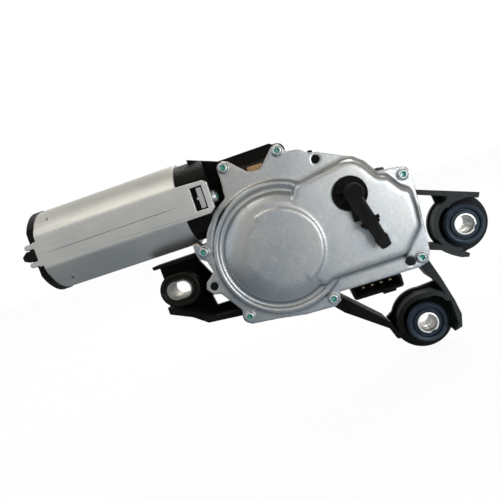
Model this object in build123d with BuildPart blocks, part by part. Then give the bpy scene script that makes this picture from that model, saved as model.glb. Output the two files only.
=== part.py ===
from build123d import *
import os
from math import acos, atan2, cos, degrees, hypot, pi, radians, sin, sqrt, tan

os.makedirs("parts", exist_ok=True)

# Rear-window wiper motor. The origin is the wiper-arm seat at the foot of the spindle's thread.
# The spindle points along +Y, the armature lies along X, and +Z is up.
# Depths count from the housing's cover face, positive towards the spindle's tip.
SEAT_DEPTH = 61.0

# Spindle
SPINDLE_R = 5.0
SPINDLE_BORE_R = 2.0
THREAD_R = 4.0
THREAD_LEN = 12.0
CONE_LEN = 6.0
CONE_TOP_R = 4.3
SPINDLE_NOSE_R = 4.4
SPINDLE_NOSE = -6.7
RUNNING = 0.05

# Worm and wheel
MODULE_WORM = 1.25
WHEEL_TEETH = 52
WHEEL_X = -42.5
WHEEL_Z = -15.5
WORM_R = 5.2
WORM_TIP = 1.0
WORM_ROOT = 1.3
WORM_TURNS = 7
WORM_FLANK = 20.0
WORM_BACKLASH = 0.2
WHEEL_FACE = 9.0
MOTOR_DEPTH = 13.0

# Sector and pinion
MODULE_SECTOR = 1.2
PINION_TEETH = 10
SECTOR_TEETH = 20
SECTOR_CUT = 7
FLANK_ANGLE = 25.0
GEAR_ADD = 0.8
GEAR_DED = 1.0
GEAR_BACKLASH = 0.15
CRANK_R = 5.66
CRANK_PIN_R = 3.0

# Levers, as depths of their faces
LEVER_NEAR = -5.6
LEVER_FAR = -1.9
LINK_NEAR = -1.6
LINK_FAR = 0.6
PIN_R = 3.0

# Sheet cover and gasket
SHEET = 1.0
GASKET = 0.8
PLATEAU = 6.2
DOME_STEP = 1.0
DOME_R = 21.7
PLATEAU_ROUND = 4.4
PRESS_ROUND = 2.0
PRESS_SLOPE = 16.0

# Housing
WALL = 3.0
WELL_R = 34.8
WELL_FLOOR = 20.5
CHAMBER_FLOOR = 3.0
TURRET_R = 9.5
BUSH_R = 7.0
SCREW_R = 1.9
SCREW_HEAD_R = 3.3
LUG_R = 4.8
EAR_NEAR = 3.0
EAR_FAR = 17.0
RING_NEAR = 6.0
RING_WALL = 1.6
COLLAR_IN_R = 12.5
COLLAR_OUT_R = 15.0
EAR_PLATE_R = 16.0

# Mounting grommets
SLEEVE_R = 5.5
SLEEVE_WALL = 0.8
SLEEVE_LEN = 20.0
GROMMET_R = 10.5
GROMMET_NECK_R = 7.8
SLOT_SPAN = 4.3
SLOT_R = 4.2
SLOT_NECK_R = 7.4
SLOT_FLANGE_R = 9.2
FLANGE_NEAR = 0.8
RIGHT_EAR = (51.5, -33.7)
LOWER_EAR = (19.2, -77.6)
LEFT_EAR = (-101.6, -20.9)

# Motor can
CAN_R = 22.8
CAN_FLAT = 20.9
CAN_WALL = 2.0
CAN_BEND = 4.0
END_ROOM = 26.0
CAP_R = 23.3
CAP_RIM = 4.4
CAP_BOSS = 12.0
CAN_RIGHT = -84.0
NECK_R = 21.4
NECK_END = -68.0
NECK_WALL = 4.0
MID_BEARING_R = 6.4
TUNNEL_LEFT = -60.0
TUNNEL_RIGHT = -27.0
SHAFT_R = 4.0
JOURNAL_R = 3.0
CORE_R = 14.8
CORE_LEFT = -140.0
CORE_LEN = 34.0
MAGNET_IN_R = 15.6
COMMUTATOR_R = 9.0
COMMUTATOR_LEFT = -92.0
COMMUTATOR_LEN = 12.0
SLOTS = 10

# Connector
CONNECTOR_W = 27.0
CONNECTOR_H = 7.6
CONNECTOR_WALL = 1.2
PIN_PITCH = 5.0
PIN_COUNT = 4

# Washer elbow
ELBOW_DEPTH = -17.5
ELBOW_TIP = (8.5, -30.0)
ELBOW_PIPE_R = 3.5
ELBOW_TIP_R = 2.6

# Shafts, brushes, clip and crank eye
AXLE_R = 4.0
SHAFT_RIGHT = -18.6
BRUSH_PLATE = -79.0
BRUSH_W = 5.0
BRUSH_T = 6.0
CLIP_DEPTH = 48.3
CLIP_T = 0.9
SEAL_LEN = 2.5
BUSH_LEN = 12.0
EYE_R = 4.5
EYE_HALF_SPAN = 1.25

# Derived sizes
worm_pitch = pi * MODULE_WORM
wheel_r = WHEEL_TEETH * MODULE_WORM / 2
motor_z = WHEEL_Z + wheel_r + WORM_R
motor_y = MOTOR_DEPTH - SEAT_DEPTH
motor_centre = (motor_y, motor_z)
pinion_r = PINION_TEETH * MODULE_SECTOR / 2
sector_r = SECTOR_TEETH * MODULE_SECTOR / 2
link_len = pinion_r + sector_r
swing = degrees(acos(sqrt(1 - (CRANK_R / link_len) ** 2)))
link_pin_at = (-CRANK_R, -link_len * cos(radians(swing)))
crank_at = (WHEEL_X - CRANK_R, WHEEL_Z)
eye_at = (link_pin_at[0] + WHEEL_X, link_pin_at[1] - 0.79)
CAN_LEFT = CORE_LEFT - END_ROOM
REAR_BEARING_LEFT = CAN_LEFT - 6.0
TURRET_END = CLIP_DEPTH - 0.3
cover_near = -GASKET - SHEET
plateau_near = cover_near - PLATEAU
dome_near = plateau_near - DOME_STEP
can_in_r = CAN_R - CAN_WALL
can_in_flat = CAN_FLAT - CAN_WALL
can_flat_depth = MOTOR_DEPTH - CAN_FLAT
SHAFT_LEFT = REAR_BEARING_LEFT + 2.0
worm_left = WHEEL_X - WORM_TURNS * worm_pitch / 2
teeth_near = MOTOR_DEPTH - WHEEL_FACE / 2
teeth_far = MOTOR_DEPTH + WHEEL_FACE / 2
ELBOW_REACH = hypot(*ELBOW_TIP)
elbow_way = (ELBOW_TIP[0] / ELBOW_REACH, 0, ELBOW_TIP[1] / ELBOW_REACH)
elbow_side = (elbow_way[2], 0, -elbow_way[0])
elbow_run = Plane(origin=(0, ELBOW_DEPTH - SEAT_DEPTH, 0), x_dir=elbow_side, z_dir=elbow_way)
NECK_SCREWS = [(0.5 - SEAT_DEPTH, motor_z - 1.3), (25.5 - SEAT_DEPTH, motor_z + 1.3)]

# Screw places on the cover's edge, clockwise from the upper left
SCREWS = [
    (-57.5, 33.3),
    (-28.1, 32.6),
    (28.6, 0.6),
    (25.3, -42.9),
    (-23.8, -50.0),
    (-69.1, -45.9),
    (-81.6, -5.5),
]
# Locating pegs, two flush and one standing proud
PEGS = [(-10.7, 22.1), (-82.3, -24.7), (19.7, -43.2)]
PEG_R = 2.1
PROUD_PEG = 3.4
# Middle of the tongue's window
WINDOW_AT = (-73.8, motor_z)

# Edge of the cover between its lugs, clockwise from the upper left
COVER_EDGE = [
    (-60.8, 33.0),
    (-57.5, 37.3),
    (-54.0, 35.8),
    (-45.8, 27.4),
    (-39.2, 26.9),
    (-31.0, 35.2),
    (-26.8, 36.7),
    (-23.6, 31.0),
    (-17.6, 30.2),
    (-13.8, 26.9),
    (-8.6, 25.6),
    (2.6, 19.8),
    (7.9, 17.4),
    (12.6, 13.4),
    (16.9, 6.5),
    (24.4, 5.6),
    (30.5, 4.4),
    (33.0, 0.8),
    (32.8, -9.2),
    (31.7, -27.2),
    (30.8, -40.3),
    (28.6, -46.2),
    (23.9, -47.8),
    (-19.7, -47.8),
    (-20.2, -52.3),
    (-23.8, -54.6),
    (-40.2, -54.1),
    (-55.6, -51.8),
    (-69.7, -50.4),
    (-73.0, -46.0),
    (-72.3, -41.4),
    (-80.2, -29.8),
    (-84.2, -28.9),
    (-87.0, -25.0),
    (-85.8, -21.6),
    (-80.4, -17.1),
    (-81.8, -10.8),
    (-85.8, -8.2),
    (-86.6, -3.4),
    (-86.4, 0.5),
    (-83.7, 0.5),
    (-82.4, -1.8),
    (-79.1, -1.6),
    (-77.1, 3.6),
    (-70.2, 13.4),
    (-61.7, 18.2),
]

# Slope from the can's upper edge down to the tunnel block
NECK_SLOPE = [(-76, 44.6), (-60.5, 38.6)]

# Where the housing's flange shows past the cover: the notch between two lugs and two small tips
FLANGE_TIPS = [
    [(-50.0, 31.7), (-45.2, 31.0), (-38.0, 31.0), (-34.8, 31.8), (-39.2, 26.0), (-45.8, 26.0)],
    [(-14.6, 26.0), (-14.1, 27.2), (-12.4, 27.7), (-11.0, 27.3), (-10.6, 25.0)],
    [(14.4, 6.0), (14.6, 7.9), (17.8, 7.9), (20.8, 7.3), (21.2, 5.0)],
]
GASKET_TAB = [(-46.4, 27.0), (-45.4, 29.8), (-37.6, 29.4), (-36.6, 28.4), (-38.8, 26.0), (-45.2, 26.0)]

# Raised part of the cover over the sector and the spindle
PLATEAU_EDGE = [
    (-33.0, 4.0),
    (-28.4, 9.6),
    (-26.6, 13.9),
    (1.8, 18.1),
    (6.7, 16.9),
    (11.2, 13.3),
    (16.8, 4.6),
    (21.2, 3.8),
    (26.0, -3.8),
    (30.7, -7.0),
    (31.0, -17.1),
    (30.1, -27.4),
    (18.6, -40.2),
    (-20.0, -40.7),
    (-27.3, -43.4),
    (-31.0, -37.5),
    (-34.0, -30.0),
]

# Room for the sector lever beside the wheel's well
CHAMBER_EDGE = [
    (-22.0, 12.0),
    (3.0, 14.2),
    (8.5, 11.2),
    (13.5, 2.0),
    (21.5, -4.2),
    (28.0, -9.5),
    (28.6, -18.0),
    (27.2, -32.0),
    (19.0, -37.6),
    (12.0, -43.6),
    (-22.0, -43.6),
]


def face_at(depth):
    """Plane across the spindle at a depth; its normal points out of the cover."""
    return Plane.XZ.offset(SEAT_DEPTH - depth)


def across(x):
    """Plane across the armature at a place along it."""
    return Plane.YZ.offset(x)


def along_motor():
    """Plane that holds the armature's axis, for turned profiles."""
    return Plane(origin=(0, motor_y, motor_z), x_dir=(1, 0, 0), z_dir=(0, -1, 0))


def beside(centre):
    """Plane that holds an axis along Y through a centre: x runs out, y runs to depth."""
    return Plane(origin=(centre[0], -SEAT_DEPTH, centre[1]), x_dir=(1, 0, 0), z_dir=(0, 0, 1))


def y_axis(centre):
    return Axis((centre[0], 0, centre[1]), (0, 1, 0))


motor_axis = Axis((0, motor_y, motor_z), (1, 0, 0))


def gear_tooth(teeth, module, base_angle):
    """Corners of one involute tooth pointing along a direction, from root to root."""
    pitch = teeth * module / 2
    base = pitch * cos(radians(FLANK_ANGLE))
    tip = pitch + GEAR_ADD * module
    root = pitch - GEAR_DED * module
    flank = tan(radians(FLANK_ANGLE)) - radians(FLANK_ANGLE)
    half = pi / (2 * teeth) - GEAR_BACKLASH / (4 * pitch) + flank
    steps = 5
    side = [(root - 0.4, half)]
    start = max(base, root)
    for i in range(steps):
        r = start + (tip - start) * i / (steps - 1)
        roll = acos(min(1.0, base / r))
        side.append((r, half - (tan(roll) - roll)))
    ring = [(r, a) for r, a in side] + [(r, -a) for r, a in reversed(side)]
    turn = radians(base_angle)
    return [(r * cos(turn + a), r * sin(turn + a)) for r, a in ring]


def region(*corners, mode=Mode.ADD):
    """Filled outline, whichever way round its corners are listed."""
    doubled = 0
    for (x0, z0), (x1, z1) in zip(corners, corners[1:] + corners[:1]):
        doubled += x0 * z1 - x1 * z0
    Polygon(*(corners if doubled > 0 else corners[::-1]), align=None, mode=mode)


def capsule(span, radius):
    """Sketch of a slot whose round ends are span apart, lying along local x."""
    SlotCenterToCenter(span, radius * 2)


def can_outline(radius, flat, bend):
    """Sketch of the can's section: round with two flats and rolled bends between them."""
    with BuildSketch(mode=Mode.PRIVATE) as section:
        Circle(radius)
        Rectangle(2 * flat, 2 * radius, mode=Mode.INTERSECT)
        fillet(section.vertices(), bend)
    add(section.sketch)


def collar(centre, start, arc):
    """Sketch of a wall that goes part of the way round a grommet, from one angle over an arc."""
    with BuildSketch(mode=Mode.PRIVATE) as wall:
        Circle(COLLAR_OUT_R)
        Circle(COLLAR_IN_R, mode=Mode.SUBTRACT)
        steps = 6
        fan = [(0, 0)]
        for i in range(steps + 1):
            turn = radians(start + arc * i / steps)
            fan.append((30 * cos(turn), 30 * sin(turn)))
        Polygon(*fan, align=None, mode=Mode.INTERSECT)
    with Locations(centre):
        add(wall.sketch)


def strap(a, a_r, b, b_r):
    """Corners of the straight band between two round ends."""
    run = hypot(b[0] - a[0], b[1] - a[1])
    side = ((a[1] - b[1]) / run, (b[0] - a[0]) / run)
    return [
        (a[0] + side[0] * a_r, a[1] + side[1] * a_r),
        (a[0] - side[0] * a_r, a[1] - side[1] * a_r),
        (b[0] - side[0] * b_r, b[1] - side[1] * b_r),
        (b[0] + side[0] * b_r, b[1] + side[1] * b_r),
    ]


def worm_half(height):
    """Half the worm thread's width at a height above its pitch line."""
    return worm_pitch / 4 - height * tan(radians(WORM_FLANK))


def gap_half(height):
    """Half the wheel gap's width at a height above the wheel's pitch circle."""
    return worm_pitch / 4 + WORM_BACKLASH / 2 + height * tan(radians(WORM_FLANK))


# Gear housing with well, lever chamber, worm tunnel, motor neck, turret and three ears
with BuildPart() as gear_housing:
    # flange and outer walls
    with BuildSketch(face_at(8.0)):
        region(*COVER_EDGE)
        for tip in FLANGE_TIPS:
            region(*tip)
    extrude(amount=8.0)
    with BuildSketch(across(-95.0)):
        with Locations(motor_centre):
            Circle(CAN_R + 0.4)
    extrude(amount=CAN_RIGHT + 95.0, mode=Mode.SUBTRACT)
    with BuildSketch(face_at(WELL_FLOOR + WALL)):
        with Locations((WHEEL_X, WHEEL_Z)):
            Circle(WELL_R + WALL - 0.6)
    extrude(amount=WELL_FLOOR + WALL)
    # tunnel block over the worm
    with BuildSketch(face_at(24.0)):
        region((-61, 2), (-61, 38), (-31, 38), (-28, 36), (-25, 31.4), (-22.5, 30.2), (-17.4, 29.5),
               (-14.2, 26.6), (-14.2, 10))
    extrude(amount=22.0)
    # neck that carries the motor, with the spigot that enters the can
    with BuildSketch(across(CAN_RIGHT)):
        with Locations(motor_centre):
            Circle(NECK_R)
            Rectangle(2 * can_in_flat, 2 * NECK_R, mode=Mode.INTERSECT)
    extrude(amount=NECK_END - CAN_RIGHT)
    with BuildSketch(across(CAN_RIGHT - 4)):
        with Locations(motor_centre):
            can_outline(can_in_r, can_in_flat, CAN_BEND - CAN_WALL)
    extrude(amount=4.0)
    # shoulder between neck and tunnel, thin enough to leave the motor screws' heads free
    with BuildSketch(face_at(MOTOR_DEPTH + 7.8)):
        region(*NECK_SLOPE, (-60.5, 3), (-70, 1.5), (-75, 2))
    extrude(amount=15.6)
    # the slope cuts the top of the round neck
    with BuildSketch(face_at(MOTOR_DEPTH + NECK_R)):
        region(*NECK_SLOPE, (-60.5, 50), (-76, 50))
    extrude(amount=2 * NECK_R, mode=Mode.SUBTRACT)
    # turret for the spindle with its ribs
    with BuildSketch(face_at(TURRET_END)):
        Circle(TURRET_R - 0.8)
    extrude(amount=TURRET_END - 8)
    with BuildSketch(face_at(22.0)):
        Circle(TURRET_R + 2.5)
        for turn in range(0, 360, 60):
            with Locations(Rotation(0, 0, turn)):
                with Locations((9, 0)):
                    Rectangle(18, 2.4)
    extrude(amount=15.0)
    # backing for the connector
    with BuildSketch(face_at(17.0)):
        with Locations((0, -43.4)):
            Rectangle(27.0, 8.8)
    extrude(amount=12.0)
    # lug columns
    with BuildSketch(face_at(15.0)):
        with Locations(*SCREWS):
            Circle(LUG_R - 0.6)
    extrude(amount=15.0)
    # right ear: two ribs, the ring and its back plate
    with BuildSketch(face_at(EAR_FAR)):
        region((30, -7.8), (30, -10.5), (62.4, -23.2), (63.6, -20.6))
        region((47.5, -16.8), (57.5, -21.3), (50.3, -21.4), (46.0, -23.4), (44.4, -21.6), (47.2, -19.0))
        collar(RIGHT_EAR, 95, 157)
        region((30, -37.6), (36.6, -39.9), (41.0, -43.6), (43.8, -45.7), (48.4, -48.0), (50.4, -49.4),
               (49.4, -51.2), (45.6, -50.2), (41.4, -47.6), (38.0, -43.9), (30, -41.0))
    extrude(amount=EAR_FAR - EAR_NEAR)
    with BuildSketch(face_at(EAR_FAR - 0.4)):
        with Locations(RIGHT_EAR):
            Circle(EAR_PLATE_R - 0.2)
        region((43, -14.6), (61.2, -22), (61.8, -30), (44, -22))
        region((37.4, -42.6), (45.0, -49.6), (49.6, -50.6), (58.0, -47.4), (50, -44), (41, -38))
    extrude(amount=3.0)
    # lower ear
    with BuildSketch(face_at(EAR_FAR)):
        region((26.6, -44), (24.2, -48.2), (27.3, -55.6), (29.9, -58), (34.2, -70.7), (34.6, -84),
               (31.6, -86.9), (35.8, -85.7), (37.4, -79), (36.1, -70.7), (32.6, -56.8), (29.3, -46))
        region((-20, -46), (-19.7, -51.6), (-1, -70), (4.6, -80.6), (3.2, -82.6), (1.7, -81.7),
               (-0.5, -75.5), (-20.5, -60.2), (-27, -53), (-26, -46))
        collar(LOWER_EAR, 80, 112)
        region((17.5, -62.3), (27.3, -62.6), (31.6, -64.8), (35.0, -70.7), (32.0, -70.0), (30.4, -67.4),
               (26.7, -65.4), (18.2, -65.2))
    extrude(amount=EAR_FAR - EAR_NEAR)
    with BuildSketch(face_at(EAR_FAR - 0.4)):
        with Locations(LOWER_EAR):
            Circle(EAR_PLATE_R + 0.6)
        region((0.6, -72.4), (3.9, -79.2), (33, -83.2), (35.2, -72), (30.5, -60.4), (19, -61.4))
    extrude(amount=3.0)
    # left ear, a ribbed plate with a slotted ring
    with BuildSketch(face_at(EAR_FAR)):
        region((-112.6, -6.8), (-113.2, -4.9), (-76, -4.6), (-76, -6.8))
        region((-112.2, -28.8), (-112.1, -32.7), (-100.4, -37.9), (-92.8, -43.5), (-69, -45.6),
               (-69, -42), (-90.6, -41), (-99, -35.6), (-108.4, -31.2))
    extrude(amount=EAR_FAR - EAR_NEAR)
    # rings that the grommets clip into
    with BuildSketch(face_at(EAR_FAR)):
        with Locations(RIGHT_EAR, LOWER_EAR):
            Circle(GROMMET_NECK_R + RING_WALL)
        with Locations(LEFT_EAR):
            capsule(SLOT_SPAN, SLOT_NECK_R + RING_WALL)
    extrude(amount=EAR_FAR - RING_NEAR)
    with BuildSketch(face_at(EAR_FAR - 0.4)):
        region((-112.2, -5.6), (-111.6, -30.6), (-100.2, -36.8), (-91.8, -42.4), (-70, -43.6), (-70, -37),
               (-87.4, -37), (-88.4, -31), (-76, -30), (-76, -20), (-84.6, -19), (-89, -10), (-89, -5.6))
    extrude(amount=3.0)
    # everything inside the cover's reach stays behind the flange face
    with BuildSketch(face_at(0.0)):
        region(*COVER_EDGE)
        offset(amount=0.5)
    extrude(amount=12.0, mode=Mode.SUBTRACT)
    # wheel well and lever chamber
    with BuildSketch(face_at(WELL_FLOOR)):
        with Locations((WHEEL_X, WHEEL_Z)):
            Circle(WELL_R)
    extrude(amount=WELL_FLOOR, mode=Mode.SUBTRACT)
    with BuildSketch(face_at(WELL_FLOOR + WALL)):
        with Locations((WHEEL_X, WHEEL_Z)):
            Circle(AXLE_R)
    extrude(amount=2 * WALL, mode=Mode.SUBTRACT)
    with BuildSketch(face_at(CHAMBER_FLOOR)):
        region(*CHAMBER_EDGE)
    extrude(amount=CHAMBER_FLOOR, mode=Mode.SUBTRACT)
    # worm tunnel with its end seat, bearing seat and brush chamber
    with BuildSketch(across(NECK_END - NECK_WALL)):
        with Locations(motor_centre):
            Circle(MID_BEARING_R)
    extrude(amount=20.0, mode=Mode.SUBTRACT)
    with BuildSketch(across(TUNNEL_LEFT)):
        with Locations(motor_centre):
            Circle(WORM_R + WORM_TIP + 1.6)
    extrude(amount=TUNNEL_RIGHT - TUNNEL_LEFT, mode=Mode.SUBTRACT)
    with BuildSketch(across(TUNNEL_RIGHT)):
        with Locations(motor_centre):
            Circle(6.0)
    extrude(amount=9.5, mode=Mode.SUBTRACT)
    with BuildSketch(across(CAN_RIGHT - 4)):
        with Locations(motor_centre):
            Circle(18.2)
            Rectangle(2 * 15.2, 2 * 18.2, mode=Mode.INTERSECT)
    extrude(amount=NECK_END - NECK_WALL - CAN_RIGHT + 4, mode=Mode.SUBTRACT)
    # posts and holes for the neck screws
    with BuildSketch(across(NECK_END - NECK_WALL)):
        with Locations(*NECK_SCREWS):
            Circle(3.6)
    extrude(amount=-4.6)
    with BuildSketch(across(NECK_END)):
        with Locations(*NECK_SCREWS):
            Circle(SCREW_R)
    extrude(amount=-12.0, mode=Mode.SUBTRACT)
    # spindle bore
    with BuildSketch(face_at(TURRET_END)):
        Circle(BUSH_R)
    extrude(amount=TURRET_END, mode=Mode.SUBTRACT)
    # grommet holes
    with BuildSketch(face_at(EAR_FAR)):
        with Locations(RIGHT_EAR, LOWER_EAR):
            Circle(GROMMET_NECK_R)
        with Locations(LEFT_EAR):
            capsule(SLOT_SPAN, SLOT_NECK_R)
    extrude(amount=EAR_FAR - EAR_NEAR, mode=Mode.SUBTRACT)
    # screw holes
    with BuildSketch(face_at(13.0)):
        with Locations(*SCREWS):
            Circle(SCREW_R)
    extrude(amount=13.0, mode=Mode.SUBTRACT)
gear_housing.part.label = "gear_housing"
export_step(gear_housing.part, "parts/gear_housing.step")

# Pegs that locate the cover
with BuildPart() as locating_pegs:
    with BuildSketch(face_at(0.0)):
        with Locations(*PEGS[:2]):
            Circle(PEG_R)
    extrude(amount=-cover_near - 0.1)
    with BuildSketch(face_at(0.0)):
        with Locations(PEGS[2]):
            Circle(PEG_R)
    extrude(amount=PROUD_PEG - cover_near)
    fillet(locating_pegs.faces().sort_by(Axis.Y)[0].edges(), 0.9)
locating_pegs.part.label = "locating_pegs"
export_step(locating_pegs.part, "parts/locating_pegs.step")

# Gasket between housing and cover
with BuildPart() as cover_gasket:
    with BuildSketch(face_at(0.0)):
        region(*COVER_EDGE)
        region(*GASKET_TAB)
        with Locations((WHEEL_X, WHEEL_Z)):
            Circle(WELL_R + 0.3, mode=Mode.SUBTRACT)
        region(*CHAMBER_EDGE, mode=Mode.SUBTRACT)
        with Locations(*SCREWS):
            Circle(SCREW_R + 0.2, mode=Mode.SUBTRACT)
        with Locations(*PEGS):
            Circle(PEG_R, mode=Mode.SUBTRACT)
    extrude(amount=GASKET)
cover_gasket.part.label = "cover_gasket"
export_step(cover_gasket.part, "parts/cover_gasket.step")

# Pressed sheet cover with its plateau, ringed dome and lugs
dome_outer = [
    (0, dome_near),
    (DOME_R - 0.3, dome_near),
    (DOME_R + 0.4, plateau_near),
    (DOME_R + 2.2, plateau_near),
    (DOME_R + 6.2, plateau_near + 1.6),
    (DOME_R + 7.9, cover_near - 0.7),
    (DOME_R + 9.8, cover_near - 0.7),
    (DOME_R + 10.9, cover_near - 2.4),
    (DOME_R + 12.8, cover_near - 2.4),
    (DOME_R + 14.0, cover_near),
    (DOME_R + 14.0, -GASKET),
    (0, -GASKET),
]
dome_inner = [
    (0, dome_near + SHEET),
    (DOME_R - 1.2, dome_near + SHEET),
    (DOME_R - 0.4, plateau_near + SHEET),
    (DOME_R + 1.6, plateau_near + SHEET),
    (DOME_R + 5.2, plateau_near + 1.6 + SHEET),
    (DOME_R + 7.2, cover_near + 0.3),
    (DOME_R + 10.2, cover_near + 0.3),
    (DOME_R + 11.3, cover_near - 1.4),
    (DOME_R + 12.4, cover_near - 1.4),
    (DOME_R + 13.4, -GASKET + 0.1),
    (0, -GASKET + 0.1),
]
# Which of the dome's outer corners the press rounds, and how much
dome_rounds = {1: 0.3, 3: 2.5, 4: 3.0, 5: 0.9, 6: 0.8, 7: 0.7, 8: 0.9}
with BuildPart() as cover_plate:
    with BuildSketch(face_at(-GASKET)):
        region(*COVER_EDGE)
    extrude(amount=SHEET)
    with BuildSketch(face_at(-GASKET)) as plateau:
        region(*PLATEAU_EDGE)
        fillet(plateau.vertices(), PLATEAU_ROUND)
    extrude(amount=SHEET + PLATEAU, taper=PRESS_SLOPE)
    fillet(cover_plate.faces().sort_by(Axis.Y)[0].edges(), PRESS_ROUND)
    with BuildSketch(beside((WHEEL_X, WHEEL_Z))) as dome:
        region(*dome_outer)
        for corner, amount in dome_rounds.items():
            fillet(dome.vertices().sort_by_distance(Vector(*dome_outer[corner]))[0], amount)
    revolve(axis=y_axis((WHEEL_X, WHEEL_Z)))
    with BuildSketch(face_at(-GASKET)) as hollow:
        region(*PLATEAU_EDGE)
        fillet(hollow.vertices(), PLATEAU_ROUND)
        offset(amount=-SHEET)
    extrude(amount=PLATEAU, taper=PRESS_SLOPE, mode=Mode.SUBTRACT)
    with BuildSketch(beside((WHEEL_X, WHEEL_Z))):
        region(*dome_inner)
    revolve(axis=y_axis((WHEEL_X, WHEEL_Z)), mode=Mode.SUBTRACT)
    with BuildSketch(face_at(0.0)):
        with Locations(*SCREWS):
            Circle(SCREW_R + 0.2)
        with Locations(*PEGS):
            Circle(PEG_R)
        Circle(SPINDLE_NOSE_R + 1.0)
    extrude(amount=12.0, mode=Mode.SUBTRACT)
cover_plate.part.label = "cover_plate"
export_step(cover_plate.part, "parts/cover_plate.step")

# Seven cover screws, one node as separate solids
with BuildPart() as cover_screws:
    with BuildSketch(face_at(12.0)):
        with Locations(*SCREWS):
            Circle(SCREW_R)
    extrude(amount=12.0 - cover_near)
    with BuildSketch(face_at(cover_near)):
        with Locations(*SCREWS):
            Circle(SCREW_HEAD_R)
    extrude(amount=2.3)
    head_tops = cover_screws.faces().filter_by(Axis.Y).group_by(Axis.Y)[0]
    fillet(head_tops.edges(), 0.9)
cover_screws.part.label = "cover_screws"
export_step(cover_screws.part, "parts/cover_screws.step")

# Washer elbow plugged into the hollow spindle
with BuildPart() as washer_elbow:
    with BuildSketch(beside((0, 0))):
        region(
            (0, plateau_near), (9.0, plateau_near), (9.0, plateau_near - 2.2), (6.4, plateau_near - 2.2),
            (5.2, plateau_near - 5.0), (5.2, ELBOW_DEPTH - 2.4), (4.0, ELBOW_DEPTH - 3.6),
            (0, ELBOW_DEPTH - 3.6),
        )
    revolve(axis=y_axis((0, 0)))
    with BuildSketch(face_at(plateau_near)):
        Circle(SPINDLE_NOSE_R + 0.9)
    extrude(amount=-(SHEET - 0.1))
    with BuildSketch(face_at(-1.0)):
        Circle(SPINDLE_BORE_R - RUNNING)
    extrude(amount=7.0)
    # gussets on the disc, the thick run, its side tabs and steps, and the hose barb
    for turn in (100, 190, 280):
        with BuildSketch(beside((0, 0)).rotated((0, turn, 0))):
            region((0, plateau_near - 2), (8.2, plateau_near - 2), (5.4, ELBOW_DEPTH + 1.5), (0, ELBOW_DEPTH))
        extrude(amount=0.6, both=True)
    with BuildSketch(elbow_run):
        Circle(ELBOW_PIPE_R)
    extrude(amount=ELBOW_REACH * 0.64)
    with BuildSketch(elbow_run.offset(ELBOW_REACH * 0.50)):
        Circle(ELBOW_PIPE_R + 0.4)
        Rectangle(10.0, 2.2)
    extrude(amount=2.6)
    with BuildSketch(elbow_run.offset(ELBOW_REACH * 0.60)):
        Circle(ELBOW_PIPE_R + 0.2)
    extrude(amount=1.2)
    with BuildSketch(elbow_run.offset(ELBOW_REACH * 0.6)):
        Circle(ELBOW_TIP_R)
    extrude(amount=ELBOW_REACH * 0.4)
    with BuildSketch(elbow_run.offset(ELBOW_REACH * 0.80)):
        Circle(ELBOW_TIP_R + 1.7)
    extrude(amount=ELBOW_REACH * 0.07)
    with BuildSketch(elbow_run.offset(ELBOW_REACH * 0.87)):
        Circle(ELBOW_TIP_R + 1.7)
    extrude(amount=ELBOW_REACH * 0.13, taper=16)
    with BuildSketch(elbow_run.offset(1.0)):
        Circle(1.3)
    extrude(amount=ELBOW_REACH, mode=Mode.SUBTRACT)
    with BuildSketch(face_at(-1.0)):
        Circle(1.0)
    extrude(amount=1.0 - plateau_near + 8.0, mode=Mode.SUBTRACT)
washer_elbow.part.label = "washer_elbow"
export_step(washer_elbow.part, "parts/washer_elbow.step")

# Connector shell with its mouth towards the cover side
connector_z = -47.8 - CONNECTOR_H / 2
with BuildPart() as connector_shell:
    with BuildSketch(face_at(24.0)) as shroud:
        with Locations((0, connector_z)):
            Rectangle(CONNECTOR_W, CONNECTOR_H)
        fillet(shroud.vertices(), 1.6)
    extrude(amount=22.5)
    with BuildSketch(face_at(20.0)) as socket:
        with Locations((0, connector_z)):
            Rectangle(CONNECTOR_W - 2 * CONNECTOR_WALL, CONNECTOR_H - 2 * CONNECTOR_WALL)
        fillet(socket.vertices(), 0.8)
    extrude(amount=20.0, mode=Mode.SUBTRACT)
    with BuildSketch(face_at(24.0)):
        with Locations((0.8, connector_z)):
            with GridLocations(PIN_PITCH, 1, PIN_COUNT, 1):
                Rectangle(1.5, 0.8)
    extrude(amount=4.0, mode=Mode.SUBTRACT)
    with BuildSketch(face_at(14.0)):
        with Locations((5.5, connector_z - CONNECTOR_H / 2 - 0.5)):
            Rectangle(7.0, 1.4)
    extrude(amount=12.0)
connector_shell.part.label = "connector_shell"
export_step(connector_shell.part, "parts/connector_shell.step")

# Four blade terminals in the connector
with BuildPart() as terminal_pins:
    with BuildSketch(face_at(24.0)):
        with Locations((0.8, connector_z)):
            with GridLocations(PIN_PITCH, 1, PIN_COUNT, 1):
                Rectangle(1.5, 0.8)
    extrude(amount=14.5)
terminal_pins.part.label = "terminal_pins"
export_step(terminal_pins.part, "parts/terminal_pins.step")


def grommet_profile(out_r, neck_r, in_r):
    """Section of a round grommet: a ringed front bead, the ear's groove and a back flange."""
    return [
        (in_r, FLANGE_NEAR), (in_r + 1.3, FLANGE_NEAR), (in_r + 1.7, FLANGE_NEAR + 1.5),
        (in_r + 2.3, FLANGE_NEAR + 1.5), (out_r - 2.3, FLANGE_NEAR + 0.3), (out_r - 1.2, FLANGE_NEAR),
        (out_r, FLANGE_NEAR + 1.3), (out_r, RING_NEAR - 1.6), (neck_r + 1.0, RING_NEAR), (neck_r, RING_NEAR),
        (neck_r, EAR_FAR), (out_r, EAR_FAR), (out_r, EAR_FAR + 1.2), (out_r - 1.2, EAR_FAR + 2.0),
        (in_r, EAR_FAR + 2.0),
    ]


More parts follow.
